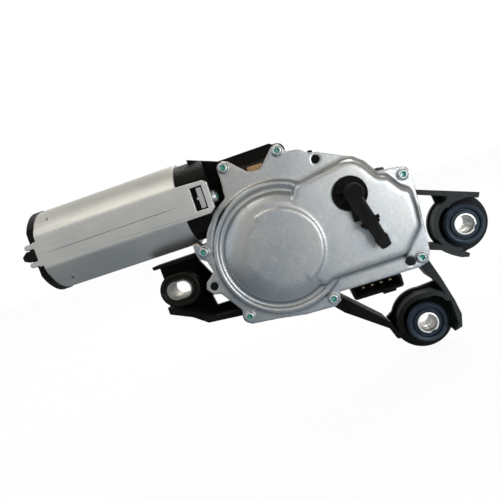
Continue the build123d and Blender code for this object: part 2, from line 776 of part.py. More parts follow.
# Rubber grommets of the two round ears
with BuildPart() as grommet_right:
    with BuildSketch(beside(RIGHT_EAR)):
        region(*grommet_profile(GROMMET_R, GROMMET_NECK_R, SLEEVE_R))
    revolve(axis=y_axis(RIGHT_EAR))
grommet_right.part.label = "grommet_right"
export_step(grommet_right.part, "parts/grommet_right.step")

with BuildPart() as grommet_lower:
    with BuildSketch(beside(LOWER_EAR)):
        region(*grommet_profile(GROMMET_R, GROMMET_NECK_R, SLEEVE_R))
    revolve(axis=y_axis(LOWER_EAR))
grommet_lower.part.label = "grommet_lower"
export_step(grommet_lower.part, "parts/grommet_lower.step")

# Long grommet of the left ear
with BuildPart() as grommet_slot:
    with BuildSketch(face_at(EAR_FAR + 2.0)):
        with Locations(LEFT_EAR):
            capsule(SLOT_SPAN, SLOT_NECK_R)
    extrude(amount=EAR_FAR + 2.0 - FLANGE_NEAR)
    with BuildSketch(face_at(EAR_FAR + 2.0)):
        with Locations(LEFT_EAR):
            capsule(SLOT_SPAN, SLOT_FLANGE_R)
    extrude(amount=2.0)
    with BuildSketch(face_at(RING_NEAR)):
        with Locations(LEFT_EAR):
            capsule(SLOT_SPAN, SLOT_FLANGE_R)
    extrude(amount=RING_NEAR - FLANGE_NEAR)
    rims = grommet_slot.faces().filter_by(Axis.Y).sort_by(Axis.Y)
    fillet(rims[0].edges() + rims[-1].edges(), 0.9)
    with BuildSketch(face_at(FLANGE_NEAR + 0.9)):
        with Locations(LEFT_EAR):
            capsule(SLOT_SPAN, SLOT_FLANGE_R - 1.8)
            SlotCenterToCenter(SLOT_SPAN, 2 * (SLOT_R + SLEEVE_WALL + 1.1), mode=Mode.SUBTRACT)
    extrude(amount=0.9, mode=Mode.SUBTRACT)
    with BuildSketch(face_at(EAR_FAR + 2.0)):
        with Locations(LEFT_EAR):
            capsule(SLOT_SPAN, SLOT_R + SLEEVE_WALL)
    extrude(amount=EAR_FAR + 4.0, mode=Mode.SUBTRACT)
grommet_slot.part.label = "grommet_slot"
export_step(grommet_slot.part, "parts/grommet_slot.step")

# Steel sleeves: two rolled round ones and a long one
with BuildPart() as sleeve_right:
    with BuildSketch(face_at(SLEEVE_LEN)):
        with Locations(RIGHT_EAR):
            Circle(SLEEVE_R)
            Circle(SLEEVE_R - SLEEVE_WALL, mode=Mode.SUBTRACT)
    extrude(amount=SLEEVE_LEN)
sleeve_right.part.label = "sleeve_right"
export_step(sleeve_right.part, "parts/sleeve_right.step")

with BuildPart() as sleeve_lower:
    with BuildSketch(face_at(SLEEVE_LEN)):
        with Locations(LOWER_EAR):
            Circle(SLEEVE_R)
            Circle(SLEEVE_R - SLEEVE_WALL, mode=Mode.SUBTRACT)
    extrude(amount=SLEEVE_LEN)
sleeve_lower.part.label = "sleeve_lower"
export_step(sleeve_lower.part, "parts/sleeve_lower.step")

with BuildPart() as sleeve_slot:
    with BuildSketch(face_at(SLEEVE_LEN)):
        with Locations(LEFT_EAR):
            capsule(SLOT_SPAN, SLOT_R + SLEEVE_WALL)
            SlotCenterToCenter(SLOT_SPAN, SLOT_R * 2, mode=Mode.SUBTRACT)
    extrude(amount=SLEEVE_LEN)
sleeve_slot.part.label = "sleeve_slot"
export_step(sleeve_slot.part, "parts/sleeve_slot.step")

# Rolled steel motor can with its latching tongue and forked fingers
with BuildPart() as motor_can:
    with BuildSketch(across(CAN_LEFT)):
        with Locations(motor_centre):
            can_outline(CAN_R, CAN_FLAT, CAN_BEND)
    extrude(amount=CAN_RIGHT - CAN_LEFT)
    with BuildSketch(across(CAN_LEFT)):
        with Locations(motor_centre):
            can_outline(can_in_r, can_in_flat, CAN_BEND - CAN_WALL)
    extrude(amount=CAN_RIGHT - CAN_LEFT, mode=Mode.SUBTRACT)
    with BuildSketch(face_at(can_flat_depth + CAN_WALL)):
        region((CAN_RIGHT - 2, 31.5), (-69.4, 30.6), (-67.3, 29.0), (-67.3, 15.4), (-70.3, 13.0),
               (CAN_RIGHT - 2, 12.9))
        with Locations(WINDOW_AT):
            Rectangle(6.4, 12.4, mode=Mode.SUBTRACT)
        with Locations((CAN_LEFT - 0.5, motor_z - 0.4)):
            Rectangle(3.4, 13.6)
        for finger_z in (motor_z + 4.5, motor_z - 5.2):
            with Locations((CAN_LEFT - 2.6, finger_z)):
                SlotOverall(9.4, 2.9)
    extrude(amount=CAN_WALL)
motor_can.part.label = "motor_can"
export_step(motor_can.part, "parts/motor_can.step")

# Catch seen through the tongue's window
with BuildPart() as tongue_catch:
    with BuildSketch(face_at(can_flat_depth + CAN_WALL)):
        with Locations((WINDOW_AT[0] + 1.1, motor_z)):
            Rectangle(2.6, 10.8)
            with Locations((-1.7, 0)):
                Rectangle(1.0, 1.2)
    extrude(amount=1.3)
tongue_catch.part.label = "tongue_catch"
export_step(tongue_catch.part, "parts/tongue_catch.step")

# End cap with the rear bearing's seat and the nub between the can's fingers
with BuildPart() as end_cap:
    with BuildSketch(along_motor()):
        region(
            (CAN_LEFT, 0), (CAN_LEFT, CAP_R), (CAN_LEFT - CAP_RIM + 0.9, CAP_R),
            (CAN_LEFT - CAP_RIM, CAP_R - 0.9),
            (CAN_LEFT - CAP_RIM, BUSH_R + 6.5), (CAN_LEFT - CAP_RIM - 1.6, BUSH_R + 5.0),
            (CAN_LEFT - CAP_RIM - 1.6, BUSH_R + 3.0), (CAN_LEFT - CAP_BOSS + 1.0, BUSH_R + 2.4),
            (CAN_LEFT - CAP_BOSS, BUSH_R + 1.4), (CAN_LEFT - CAP_BOSS, 0),
        )
    revolve(axis=motor_axis)
    with BuildSketch(across(CAN_LEFT)):
        with Locations(motor_centre):
            can_outline(can_in_r, can_in_flat, CAN_BEND - CAN_WALL)
            Circle(can_in_r - 2.4, mode=Mode.SUBTRACT)
            Circle(BUSH_R + 3.6)
    extrude(amount=6.0)
    with BuildSketch(across(CAN_LEFT - CAP_BOSS - 1.0)):
        with Locations(motor_centre):
            Rectangle(2 * can_in_flat + 20, 60)
            Rectangle(2 * can_in_flat, 60, mode=Mode.SUBTRACT)
    extrude(amount=CAP_BOSS + 8.0, mode=Mode.SUBTRACT)
    with BuildSketch(face_at(can_flat_depth + CAN_WALL + 5.0)):
        region(
            (CAN_LEFT - 2.4, motor_z + 2.4), (CAN_LEFT - 6.6, motor_z + 2.6), (CAN_LEFT - 9.6, motor_z + 0.4),
            (CAN_LEFT - 9.4, motor_z - 1.9), (CAN_LEFT - 6.4, motor_z - 3.4), (CAN_LEFT - 2.4, motor_z - 3.0),
        )
    extrude(amount=CAN_WALL + 5.4)
    with BuildSketch(across(REAR_BEARING_LEFT)):
        with Locations(motor_centre):
            Circle(BUSH_R)
    extrude(amount=20.0, mode=Mode.SUBTRACT)
end_cap.part.label = "end_cap"
export_step(end_cap.part, "parts/end_cap.step")


def bush_section(left, length, out_r, in_r):
    with BuildSketch(across(left)) as ring:
        with Locations(motor_centre):
            Circle(out_r)
            Circle(in_r, mode=Mode.SUBTRACT)
    extrude(ring.sketch, amount=length)


# Bearings and thrust pad of the armature
with BuildPart() as rear_bearing:
    bush_section(REAR_BEARING_LEFT + 2.0, 8.0, BUSH_R, SHAFT_R + RUNNING)
rear_bearing.part.label = "rear_bearing"
export_step(rear_bearing.part, "parts/rear_bearing.step")

with BuildPart() as thrust_pad:
    bush_section(REAR_BEARING_LEFT, 1.7, BUSH_R, 1.0)
thrust_pad.part.label = "thrust_pad"
export_step(thrust_pad.part, "parts/thrust_pad.step")

with BuildPart() as mid_bearing:
    bush_section(NECK_END - NECK_WALL + 0.6, 6.0, MID_BEARING_R, SHAFT_R + RUNNING)
mid_bearing.part.label = "mid_bearing"
export_step(mid_bearing.part, "parts/mid_bearing.step")

with BuildPart() as front_bearing:
    bush_section(-26.4, 7.4, 6.0, JOURNAL_R + RUNNING)
front_bearing.part.label = "front_bearing"
export_step(front_bearing.part, "parts/front_bearing.step")

# Two arc magnets above and below the armature
with BuildPart() as magnets:
    with BuildSketch(across(CORE_LEFT - 5.0)) as arcs:
        with Locations(motor_centre):
            Circle(can_in_r)
            Circle(MAGNET_IN_R, mode=Mode.SUBTRACT)
            Rectangle(2 * can_in_flat - 1.2, 2 * CAN_R, mode=Mode.INTERSECT)
            Rectangle(60, 2 * 9.0, mode=Mode.SUBTRACT)
    extrude(amount=CORE_LEN + 10.0)
magnets.part.label = "magnets"
export_step(magnets.part, "parts/magnets.step")

# Armature shaft with its rolled worm
with BuildPart() as worm_shaft:
    with BuildSketch(along_motor()):
        region(
            (SHAFT_LEFT, 0), (SHAFT_LEFT, SHAFT_R - 0.5), (SHAFT_LEFT + 0.5, SHAFT_R),
            (worm_left - 3, SHAFT_R),
            (worm_left - 2.9, WORM_R - WORM_ROOT), (-27.2, WORM_R - WORM_ROOT), (-27.0, JOURNAL_R),
            (SHAFT_RIGHT - 0.5, JOURNAL_R), (SHAFT_RIGHT, JOURNAL_R - 0.5), (SHAFT_RIGHT, 0),
        )
    revolve(axis=motor_axis)
    with BuildLine() as thread_path:
        Helix(worm_pitch, WORM_TURNS * worm_pitch, WORM_R, (worm_left, motor_y, motor_z), (1, 0, 0))
    thread_start = Plane(origin=thread_path.line @ 0, x_dir=(0, 0, 1), z_dir=thread_path.line % 0)
    with BuildSketch(thread_start) as thread:
        region(
            (-WORM_ROOT - 0.2, -worm_half(-WORM_ROOT - 0.2)), (-WORM_ROOT - 0.2, worm_half(-WORM_ROOT - 0.2)),
            (WORM_TIP, worm_half(WORM_TIP)), (WORM_TIP, -worm_half(WORM_TIP)),
        )
    sweep(path=thread_path.line, is_frenet=True)
worm_shaft.part.label = "worm_shaft"
export_step(worm_shaft.part, "parts/worm_shaft.step")

# Slotted armature core
with BuildPart() as armature_core:
    with BuildSketch(across(CORE_LEFT)) as lamination:
        with Locations(motor_centre):
            Circle(CORE_R)
            Circle(SHAFT_R, mode=Mode.SUBTRACT)
            with PolarLocations(0, SLOTS):
                with Locations((CORE_R - 3.4, 0)):
                    Rectangle(4.4, 3.8, mode=Mode.SUBTRACT)
                with Locations((CORE_R, 0)):
                    Rectangle(4.0, 1.4, mode=Mode.SUBTRACT)
    extrude(amount=CORE_LEN)
armature_core.part.label = "armature_core"
export_step(armature_core.part, "parts/armature_core.step")

# Copper windings through the core's slots with a bundle at each end
with BuildPart() as windings:
    with BuildSketch(across(CORE_LEFT - 8.0)):
        with Locations(motor_centre):
            Circle(CORE_R - 1.4)
            Circle(SHAFT_R, mode=Mode.SUBTRACT)
    extrude(amount=8.0)
    with BuildSketch(across(CORE_LEFT + CORE_LEN)):
        with Locations(motor_centre):
            Circle(CORE_R - 1.4)
            Circle(SHAFT_R, mode=Mode.SUBTRACT)
    extrude(amount=9.0)
    ends = windings.edges().filter_by(GeomType.CIRCLE).group_by(Axis.X)
    fillet(ends[0].sort_by(SortBy.RADIUS)[-1:] + ends[-1].sort_by(SortBy.RADIUS)[-1:], 3.0)
    with BuildSketch(across(CORE_LEFT - 1.0)):
        with Locations(motor_centre):
            with PolarLocations(0, SLOTS):
                with Locations((CORE_R - 3.4, 0)):
                    Rectangle(4.0, 3.4)
    extrude(amount=CORE_LEN + 2.0)
windings.part.label = "windings"
export_step(windings.part, "parts/windings.step")

# Commutator with its bars cut apart
with BuildPart() as commutator:
    bush_section(COMMUTATOR_LEFT, COMMUTATOR_LEN, COMMUTATOR_R, SHAFT_R)
    with BuildSketch(across(COMMUTATOR_LEFT + 1.5)):
        with Locations(motor_centre):
            with PolarLocations(COMMUTATOR_R, SLOTS):
                Rectangle(2.4, 0.5)
    extrude(amount=COMMUTATOR_LEN, mode=Mode.SUBTRACT)
commutator.part.label = "commutator"
export_step(commutator.part, "parts/commutator.step")

# Brush plate with two boxes, held by the neck screws
with BuildPart() as brush_holder:
    with BuildSketch(across(BRUSH_PLATE)):
        with Locations(motor_centre):
            Circle(18.0)
            Rectangle(2 * 15.0, 36, mode=Mode.INTERSECT)
            Circle(COMMUTATOR_R + 1.2, mode=Mode.SUBTRACT)
        with Locations(*NECK_SCREWS):
            Circle(SCREW_R + 0.2, mode=Mode.SUBTRACT)
    extrude(amount=2.4)
    for side in (1, -1):
        with BuildSketch(across(BRUSH_PLATE)):
            with Locations((motor_y, motor_z + side * (COMMUTATOR_R + 4.6))):
                Rectangle(8.0, 7.4)
        extrude(amount=-8.6)
        with BuildSketch(across(BRUSH_PLATE - 1.0)):
            with Locations((motor_y, motor_z + side * (COMMUTATOR_R + 4.6))):
                Rectangle(BRUSH_W, 12.0)
        extrude(amount=-BRUSH_T, mode=Mode.SUBTRACT)
brush_holder.part.label = "brush_holder"
export_step(brush_holder.part, "parts/brush_holder.step")

with BuildPart() as brushes:
    for side in (1, -1):
        with BuildSketch(across(BRUSH_PLATE - 1.0)):
            with Locations((motor_y, motor_z + side * (COMMUTATOR_R + 3.4))):
                Rectangle(BRUSH_W, 6.4)
            with Locations(motor_centre):
                Circle(COMMUTATOR_R + 0.3, mode=Mode.SUBTRACT)
        extrude(amount=-BRUSH_T)
brushes.part.label = "brushes"
export_step(brushes.part, "parts/brushes.step")

# Screws that hold the brush plate and the motor to the neck
with BuildPart() as neck_screws:
    with BuildSketch(across(NECK_END)):
        with Locations(*NECK_SCREWS):
            Circle(4.2)
    extrude(amount=2.8)
    fillet(neck_screws.faces().sort_by(Axis.X)[-2:].edges(), 1.1)
    with BuildSketch(across(NECK_END)):
        with Locations(*NECK_SCREWS):
            Circle(SCREW_R)
    extrude(amount=-11.5)
neck_screws.part.label = "neck_screws"
export_step(neck_screws.part, "parts/neck_screws.step")

# One tooth gap of the wheel, inclined by the worm's lead, on the wheel's own axis
lead_slope = MODULE_WORM / (2 * WORM_R)
gap_depth = WHEEL_FACE + 2.0
with BuildPart() as tooth_gap:
    with BuildSketch(face_at(MOTOR_DEPTH + gap_depth / 2)):
        with Locations((lead_slope * gap_depth / 2, wheel_r)):
            region(
                (-gap_half(-WORM_ROOT), -WORM_ROOT), (-gap_half(1.8), 1.8),
                (gap_half(1.8), 1.8), (gap_half(-WORM_ROOT), -WORM_ROOT),
            )
    extrude(amount=gap_depth * hypot(1, lead_slope), dir=(-lead_slope, -1, 0))

# Worm wheel with closed deck, hub and ribs
with BuildPart() as worm_wheel:
    with BuildSketch(beside((WHEEL_X, WHEEL_Z))):
        region(
            (0, 1.0), (25.0, 1.0), (27.0, 3.0), (27.0, teeth_near), (wheel_r + WORM_TIP, teeth_near),
            (wheel_r + WORM_TIP, teeth_far), (27.6, teeth_far), (27.6, 12.0), (24.0, 12.0), (24.0, 4.0),
            (9.0, 4.0),
            (9.0, 19.6), (AXLE_R + RUNNING, 19.6), (AXLE_R + RUNNING, 5.0), (0, 5.0),
        )
    revolve(axis=y_axis((WHEEL_X, WHEEL_Z)))
    with BuildSketch(face_at(15.0)):
        with Locations((WHEEL_X, WHEEL_Z)):
            with PolarLocations(16.4, 6):
                Rectangle(16.6, 1.8)
    extrude(amount=12.0)
    with Locations((WHEEL_X, 0, WHEEL_Z)):
        for tooth in range(WHEEL_TEETH):
            add(tooth_gap.part, rotation=(0, tooth * 360 / WHEEL_TEETH, 0), mode=Mode.SUBTRACT)
    with BuildSketch(face_at(4.0)):
        with Locations(crank_at):
            Circle(CRANK_PIN_R)
    extrude(amount=4.0, mode=Mode.SUBTRACT)
worm_wheel.part.label = "worm_wheel"
export_step(worm_wheel.part, "parts/worm_wheel.step")

# Axle pressed into the housing's floor
with BuildPart() as wheel_axle:
    with BuildSketch(face_at(WELL_FLOOR + WALL)):
        with Locations((WHEEL_X, WHEEL_Z)):
            Circle(AXLE_R)
    extrude(amount=WELL_FLOOR + WALL - 5.4)
wheel_axle.part.label = "wheel_axle"
export_step(wheel_axle.part, "parts/wheel_axle.step")

with BuildPart() as thrust_washer:
    with BuildSketch(face_at(WELL_FLOOR)):
        with Locations((WHEEL_X, WHEEL_Z)):
            Circle(9.0)
            Circle(AXLE_R, mode=Mode.SUBTRACT)
    extrude(amount=WELL_FLOOR - 19.6 - 0.05)
thrust_washer.part.label = "thrust_washer"
export_step(thrust_washer.part, "parts/thrust_washer.step")

# Crank pin moulded into the wheel's deck, with its clip washer
with BuildPart() as crank_pin:
    with BuildSketch(face_at(4.0)):
        with Locations(crank_at):
            Circle(CRANK_PIN_R)
    extrude(amount=4.0 + 7.6)
crank_pin.part.label = "crank_pin"
export_step(crank_pin.part, "parts/crank_pin.step")

with BuildPart() as crank_washer:
    with BuildSketch(face_at(LEVER_NEAR - 0.3)):
        with Locations(crank_at):
            Circle(7.2)
            Circle(CRANK_PIN_R, mode=Mode.SUBTRACT)
    extrude(amount=1.0)
crank_washer.part.label = "crank_washer"
export_step(crank_washer.part, "parts/crank_washer.step")

# Brass park ring on the wheel's deck, open where the motor stops
with BuildPart() as contact_disc:
    with BuildSketch(face_at(1.0)):
        with Locations((WHEEL_X, WHEEL_Z)):
            Circle(24.0)
            Circle(15.0, mode=Mode.SUBTRACT)
            with Locations((19.5, 8.0)):
                Rectangle(9.0, 7.0, mode=Mode.SUBTRACT)
    extrude(amount=0.4)
contact_disc.part.label = "contact_disc"
export_step(contact_disc.part, "parts/contact_disc.step")

# Sector lever: crank eye, arm and toothed head
to_spindle = degrees(atan2(-link_pin_at[1], -link_pin_at[0]))
tooth_step = 360 / SECTOR_TEETH
sector_root = sector_r - GEAR_DED * MODULE_SECTOR
fan_steps = 4 * SECTOR_CUT
sector_fan = []
for k in range(fan_steps + 1):
    fan_angle = radians(to_spindle + tooth_step * (k / 4 - 2.5))
    sector_fan.append((sector_root * cos(fan_angle), sector_root * sin(fan_angle)))
with BuildPart() as sector_lever:
    with BuildSketch(face_at(LEVER_FAR)):
        with Locations(link_pin_at):
            Circle(PIN_R + 5.0)
            for k in range(SECTOR_CUT):
                region(*gear_tooth(SECTOR_TEETH, MODULE_SECTOR, to_spindle + tooth_step * (k - 2)))
            region((0, 0), *sector_fan)
        with Locations(eye_at):
            SlotCenterToCenter(2 * EYE_HALF_SPAN, 2 * (EYE_R + 3.4), rotation=90)
        region(*strap(link_pin_at, PIN_R + 4.2, eye_at, 6.4))
        with Locations(eye_at):
            SlotCenterToCenter(2 * EYE_HALF_SPAN, 2 * EYE_R, rotation=90, mode=Mode.SUBTRACT)
        with Locations(link_pin_at):
            Circle(PIN_R + RUNNING, mode=Mode.SUBTRACT)
    extrude(amount=LEVER_FAR - LEVER_NEAR)
sector_lever.part.label = "sector_lever"
export_step(sector_lever.part, "parts/sector_lever.step")

# Link plate between the spindle and the lever's pivot, with its riveted pin
with BuildPart() as link_plate:
    with BuildSketch(face_at(LINK_FAR)) as plate:
        Circle(9.0)
        with Locations(link_pin_at):
            Circle(6.5)
        region(*strap((0, 0), 8.7, link_pin_at, 6.3))
        Circle(SPINDLE_R + RUNNING, mode=Mode.SUBTRACT)
        with Locations(link_pin_at):
            Circle(PIN_R, mode=Mode.SUBTRACT)
    extrude(amount=LINK_FAR - LINK_NEAR)
link_plate.part.label = "link_plate"
export_step(link_plate.part, "parts/link_plate.step")

with BuildPart() as link_pin:
    with BuildSketch(face_at(LINK_FAR)):
        with Locations(link_pin_at):
            Circle(PIN_R)
    extrude(amount=LINK_FAR + 6.6)
    with BuildSketch(face_at(LEVER_NEAR - 0.3)):
        with Locations(link_pin_at):
            Circle(5.0)
    extrude(amount=0.7)
link_pin.part.label = "link_pin"
export_step(link_pin.part, "parts/link_pin.step")

# Output spindle with its pinion, cone, thread and washer bore
to_lever = degrees(atan2(link_pin_at[1], link_pin_at[0]))
pinion_step = 360 / PINION_TEETH
with BuildPart() as output_spindle:
    with BuildSketch(beside((0, 0))):
        region(
            (0, SPINDLE_NOSE), (SPINDLE_NOSE_R, SPINDLE_NOSE), (SPINDLE_NOSE_R, LINK_NEAR - 0.3),
            (SPINDLE_R, LINK_NEAR - 0.3), (SPINDLE_R, CLIP_DEPTH), (SPINDLE_R - 0.7, CLIP_DEPTH),
            (SPINDLE_R - 0.7, CLIP_DEPTH + CLIP_T), (SPINDLE_R, CLIP_DEPTH + CLIP_T),
            (SPINDLE_R, SEAT_DEPTH - CONE_LEN),
            (CONE_TOP_R, SEAT_DEPTH), (THREAD_R, SEAT_DEPTH), (THREAD_R, SEAT_DEPTH + THREAD_LEN),
            (THREAD_R - 0.8, SEAT_DEPTH + THREAD_LEN + 0.8), (0, SEAT_DEPTH + THREAD_LEN + 0.8),
        )
    revolve(axis=y_axis((0, 0)))
    with BuildSketch(face_at(LINK_NEAR - 0.3)):
        Circle(pinion_r - GEAR_DED * MODULE_SECTOR)
        for k in range(PINION_TEETH):
            region(*gear_tooth(PINION_TEETH, MODULE_SECTOR, to_lever + pinion_step * (k + 0.5)))
    extrude(amount=LINK_NEAR - 0.3 - LEVER_NEAR)
    with BuildSketch(face_at(SEAT_DEPTH + THREAD_LEN + 1.0)):
        Circle(SPINDLE_BORE_R)
    extrude(amount=SEAT_DEPTH + THREAD_LEN + 10.0, mode=Mode.SUBTRACT)
output_spindle.part.label = "output_spindle"
export_step(output_spindle.part, "parts/output_spindle.step")


def spindle_ring(far, length, out_r, in_r):
    with BuildSketch(face_at(far)) as ring:
        Circle(out_r)
        Circle(in_r, mode=Mode.SUBTRACT)
    extrude(ring.sketch, amount=length)


# Bushes, seal, washer and clip on the spindle
with BuildPart() as spindle_bushes:
    spindle_ring(5.0 + BUSH_LEN, BUSH_LEN, BUSH_R, SPINDLE_R + RUNNING)
    spindle_ring(TURRET_END - SEAL_LEN, BUSH_LEN, BUSH_R, SPINDLE_R + RUNNING)
spindle_bushes.part.label = "spindle_bushes"
export_step(spindle_bushes.part, "parts/spindle_bushes.step")

with BuildPart() as spindle_seal:
    spindle_ring(TURRET_END, SEAL_LEN, BUSH_R, SPINDLE_R + RUNNING)
spindle_seal.part.label = "spindle_seal"
export_step(spindle_seal.part, "parts/spindle_seal.step")

with BuildPart() as spindle_washer:
    spindle_ring(CHAMBER_FLOOR, CHAMBER_FLOOR - LINK_FAR - 0.3, 9.0, SPINDLE_R + RUNNING)
spindle_washer.part.label = "spindle_washer"
export_step(spindle_washer.part, "parts/spindle_washer.step")

with BuildPart() as spindle_clip:
    spindle_ring(CLIP_DEPTH + CLIP_T, CLIP_T, 7.2, SPINDLE_R - 0.7)
spindle_clip.part.label = "spindle_clip"
export_step(spindle_clip.part, "parts/spindle_clip.step")

# Suppression chokes and their carrier in the chamber's lower corner
with BuildPart() as choke_carrier:
    with BuildSketch(face_at(CHAMBER_FLOOR)) as carrier:
        region((-14, -42.6), (11, -42.6), (17.5, -37), (17.5, -31), (-14, -31))
        fillet(carrier.vertices(), 1.5)
    extrude(amount=1.4)
choke_carrier.part.label = "choke_carrier"
export_step(choke_carrier.part, "parts/choke_carrier.step")

with BuildPart() as chokes:
    for choke_z in (-30.6, -35.7):
        with BuildSketch(across(-5.0)):
            with Locations((CHAMBER_FLOOR - 1.4 - 2.4 - SEAT_DEPTH, choke_z)):
                Circle(2.4)
        extrude(amount=17.0)
chokes.part.label = "chokes"
export_step(chokes.part, "parts/chokes.step")

# Spring blades that feel the park ring
with BuildPart() as contact_springs:
    with BuildSketch(face_at(0.3)):
        for blade_z in (-30.5, -34.5):
            with Locations((-21.0, blade_z)):
                Rectangle(26.0, 1.8)
    extrude(amount=0.4)
    with BuildSketch(face_at(CHAMBER_FLOOR - 1.4)):
        with Locations((-10.0, -32.5)):
            Rectangle(4.0, 5.8)
    extrude(amount=CHAMBER_FLOOR - 1.4 + 0.1)
contact_springs.part.label = "contact_springs"
export_step(contact_springs.part, "parts/contact_springs.step")
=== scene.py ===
import math

import bmesh
import bpy
from mathutils import Matrix, Vector


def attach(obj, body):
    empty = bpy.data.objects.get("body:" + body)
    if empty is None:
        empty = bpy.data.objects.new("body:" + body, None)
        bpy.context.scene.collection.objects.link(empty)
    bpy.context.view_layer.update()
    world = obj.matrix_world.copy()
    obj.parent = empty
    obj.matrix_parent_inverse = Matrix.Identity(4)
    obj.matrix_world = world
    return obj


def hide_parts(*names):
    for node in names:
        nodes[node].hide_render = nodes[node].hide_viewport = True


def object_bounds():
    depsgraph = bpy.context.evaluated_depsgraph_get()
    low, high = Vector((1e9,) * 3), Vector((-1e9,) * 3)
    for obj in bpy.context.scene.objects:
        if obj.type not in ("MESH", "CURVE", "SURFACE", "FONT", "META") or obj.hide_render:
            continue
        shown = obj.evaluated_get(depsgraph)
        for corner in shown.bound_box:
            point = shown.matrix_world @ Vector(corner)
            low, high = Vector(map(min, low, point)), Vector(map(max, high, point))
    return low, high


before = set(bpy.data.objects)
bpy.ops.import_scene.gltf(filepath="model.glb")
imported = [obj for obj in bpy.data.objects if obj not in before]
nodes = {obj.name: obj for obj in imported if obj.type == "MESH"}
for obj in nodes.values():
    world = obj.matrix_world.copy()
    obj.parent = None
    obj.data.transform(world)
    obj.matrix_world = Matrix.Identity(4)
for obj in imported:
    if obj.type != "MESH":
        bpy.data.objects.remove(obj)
cad_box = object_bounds()
bpy.ops.object.select_all(action="DESELECT")

MM = 0.001
PER_METRE = 1000.0
COVER_FACE = -0.061          # y of the housing's face that the cover is screwed to


def place(x, depth, z):
    """A point in metres from millimetres, with its depth behind the cover face."""
    return Vector((x * MM, COVER_FACE + depth * MM, z * MM))


# Finishes: numbers and colours that vary over a surface

MIX_ENTRIES = (0, 6, 7)      # share, first and second colour of a mixing node
MIX_RESULT = 2


class Value:
    """One number or colour of a finish, which can be used in ordinary sums."""

    def __init__(self, graph, socket):
        self.graph = graph
        self.socket = socket

    def join(self, operation, first, second, capped=False):
        return self.graph.node(
            "ShaderNodeMath", {"operation": operation, "use_clamp": capped}, first, second)

    def __add__(self, other):
        return self.join("ADD", self, other)

    def __radd__(self, other):
        return self.join("ADD", other, self)

    def __sub__(self, other):
        return self.join("SUBTRACT", self, other)

    def __rsub__(self, other):
        return self.join("SUBTRACT", other, self)

    def __mul__(self, other):
        return self.join("MULTIPLY", self, other)

    def __rmul__(self, other):
        return self.join("MULTIPLY", other, self)

    def __abs__(self):
        return self.join("ABSOLUTE", self, 0.0)

    def larger(self, other):
        return self.join("MAXIMUM", self, other)

    def capped(self):
        return self.join("ADD", self, 0.0, capped=True)

    def fade(self, low, high, start=0.0, end=1.0):
        """Start where this is at low, end where it is at high, straight between."""
        return self.graph.node("ShaderNodeMapRange", None, Value=self, **{
            "From Min": low, "From Max": high, "To Min": start, "To Max": end})

    def near(self, middle, half, soft):
        """1 within half of the middle, 0 a little further out."""
        return abs(self - middle).fade(half, half + soft, 1.0, 0.0)


class Graph:
    """A node tree, with one way to add a node to it."""

    def __init__(self, tree):
        self.tree = tree

    def node(self, kind, settings=None, *inputs, out=0, **named):
        made = self.tree.nodes.new(kind)
        for key, value in (settings or {}).items():
            setattr(made, key, value)
        entries = list(enumerate(inputs))
        entries += [(key.replace("_", " "), value) for key, value in named.items()]
        for key, value in entries:
            self.feed(made.inputs[key], value)
        return Value(self, made.outputs[out])

    def feed(self, socket, value):
        if isinstance(value, Value):
            self.tree.links.new(value.socket, socket)
        elif isinstance(value, tuple) and len(value) == 3 and socket.type == "RGBA":
            socket.default_value = (*value, 1.0)
        else:
            socket.default_value = value

    def mix(self, share, first, second):
        """A colour between two colours."""
        made = self.tree.nodes.new("ShaderNodeMix")
        made.data_type = "RGBA"
        for entry, value in zip(MIX_ENTRIES, (share, first, second)):
            self.feed(made.inputs[entry], value)
        return Value(self, made.outputs[MIX_RESULT])

    def part(self, vector, number):
        """One of the three numbers of a vector."""
        split = self.tree.nodes.new("ShaderNodeSeparateXYZ")
        self.feed(split.inputs[0], vector)
        return Value(self, split.outputs[number])

    def seen(self):
        """1 for what is looked at directly, as a mirror image, and through glass."""
        return [self.node("ShaderNodeLightPath", None, out=name)
                for name in ("Is Camera Ray", "Is Glossy Ray", "Is Transmission Ray")]


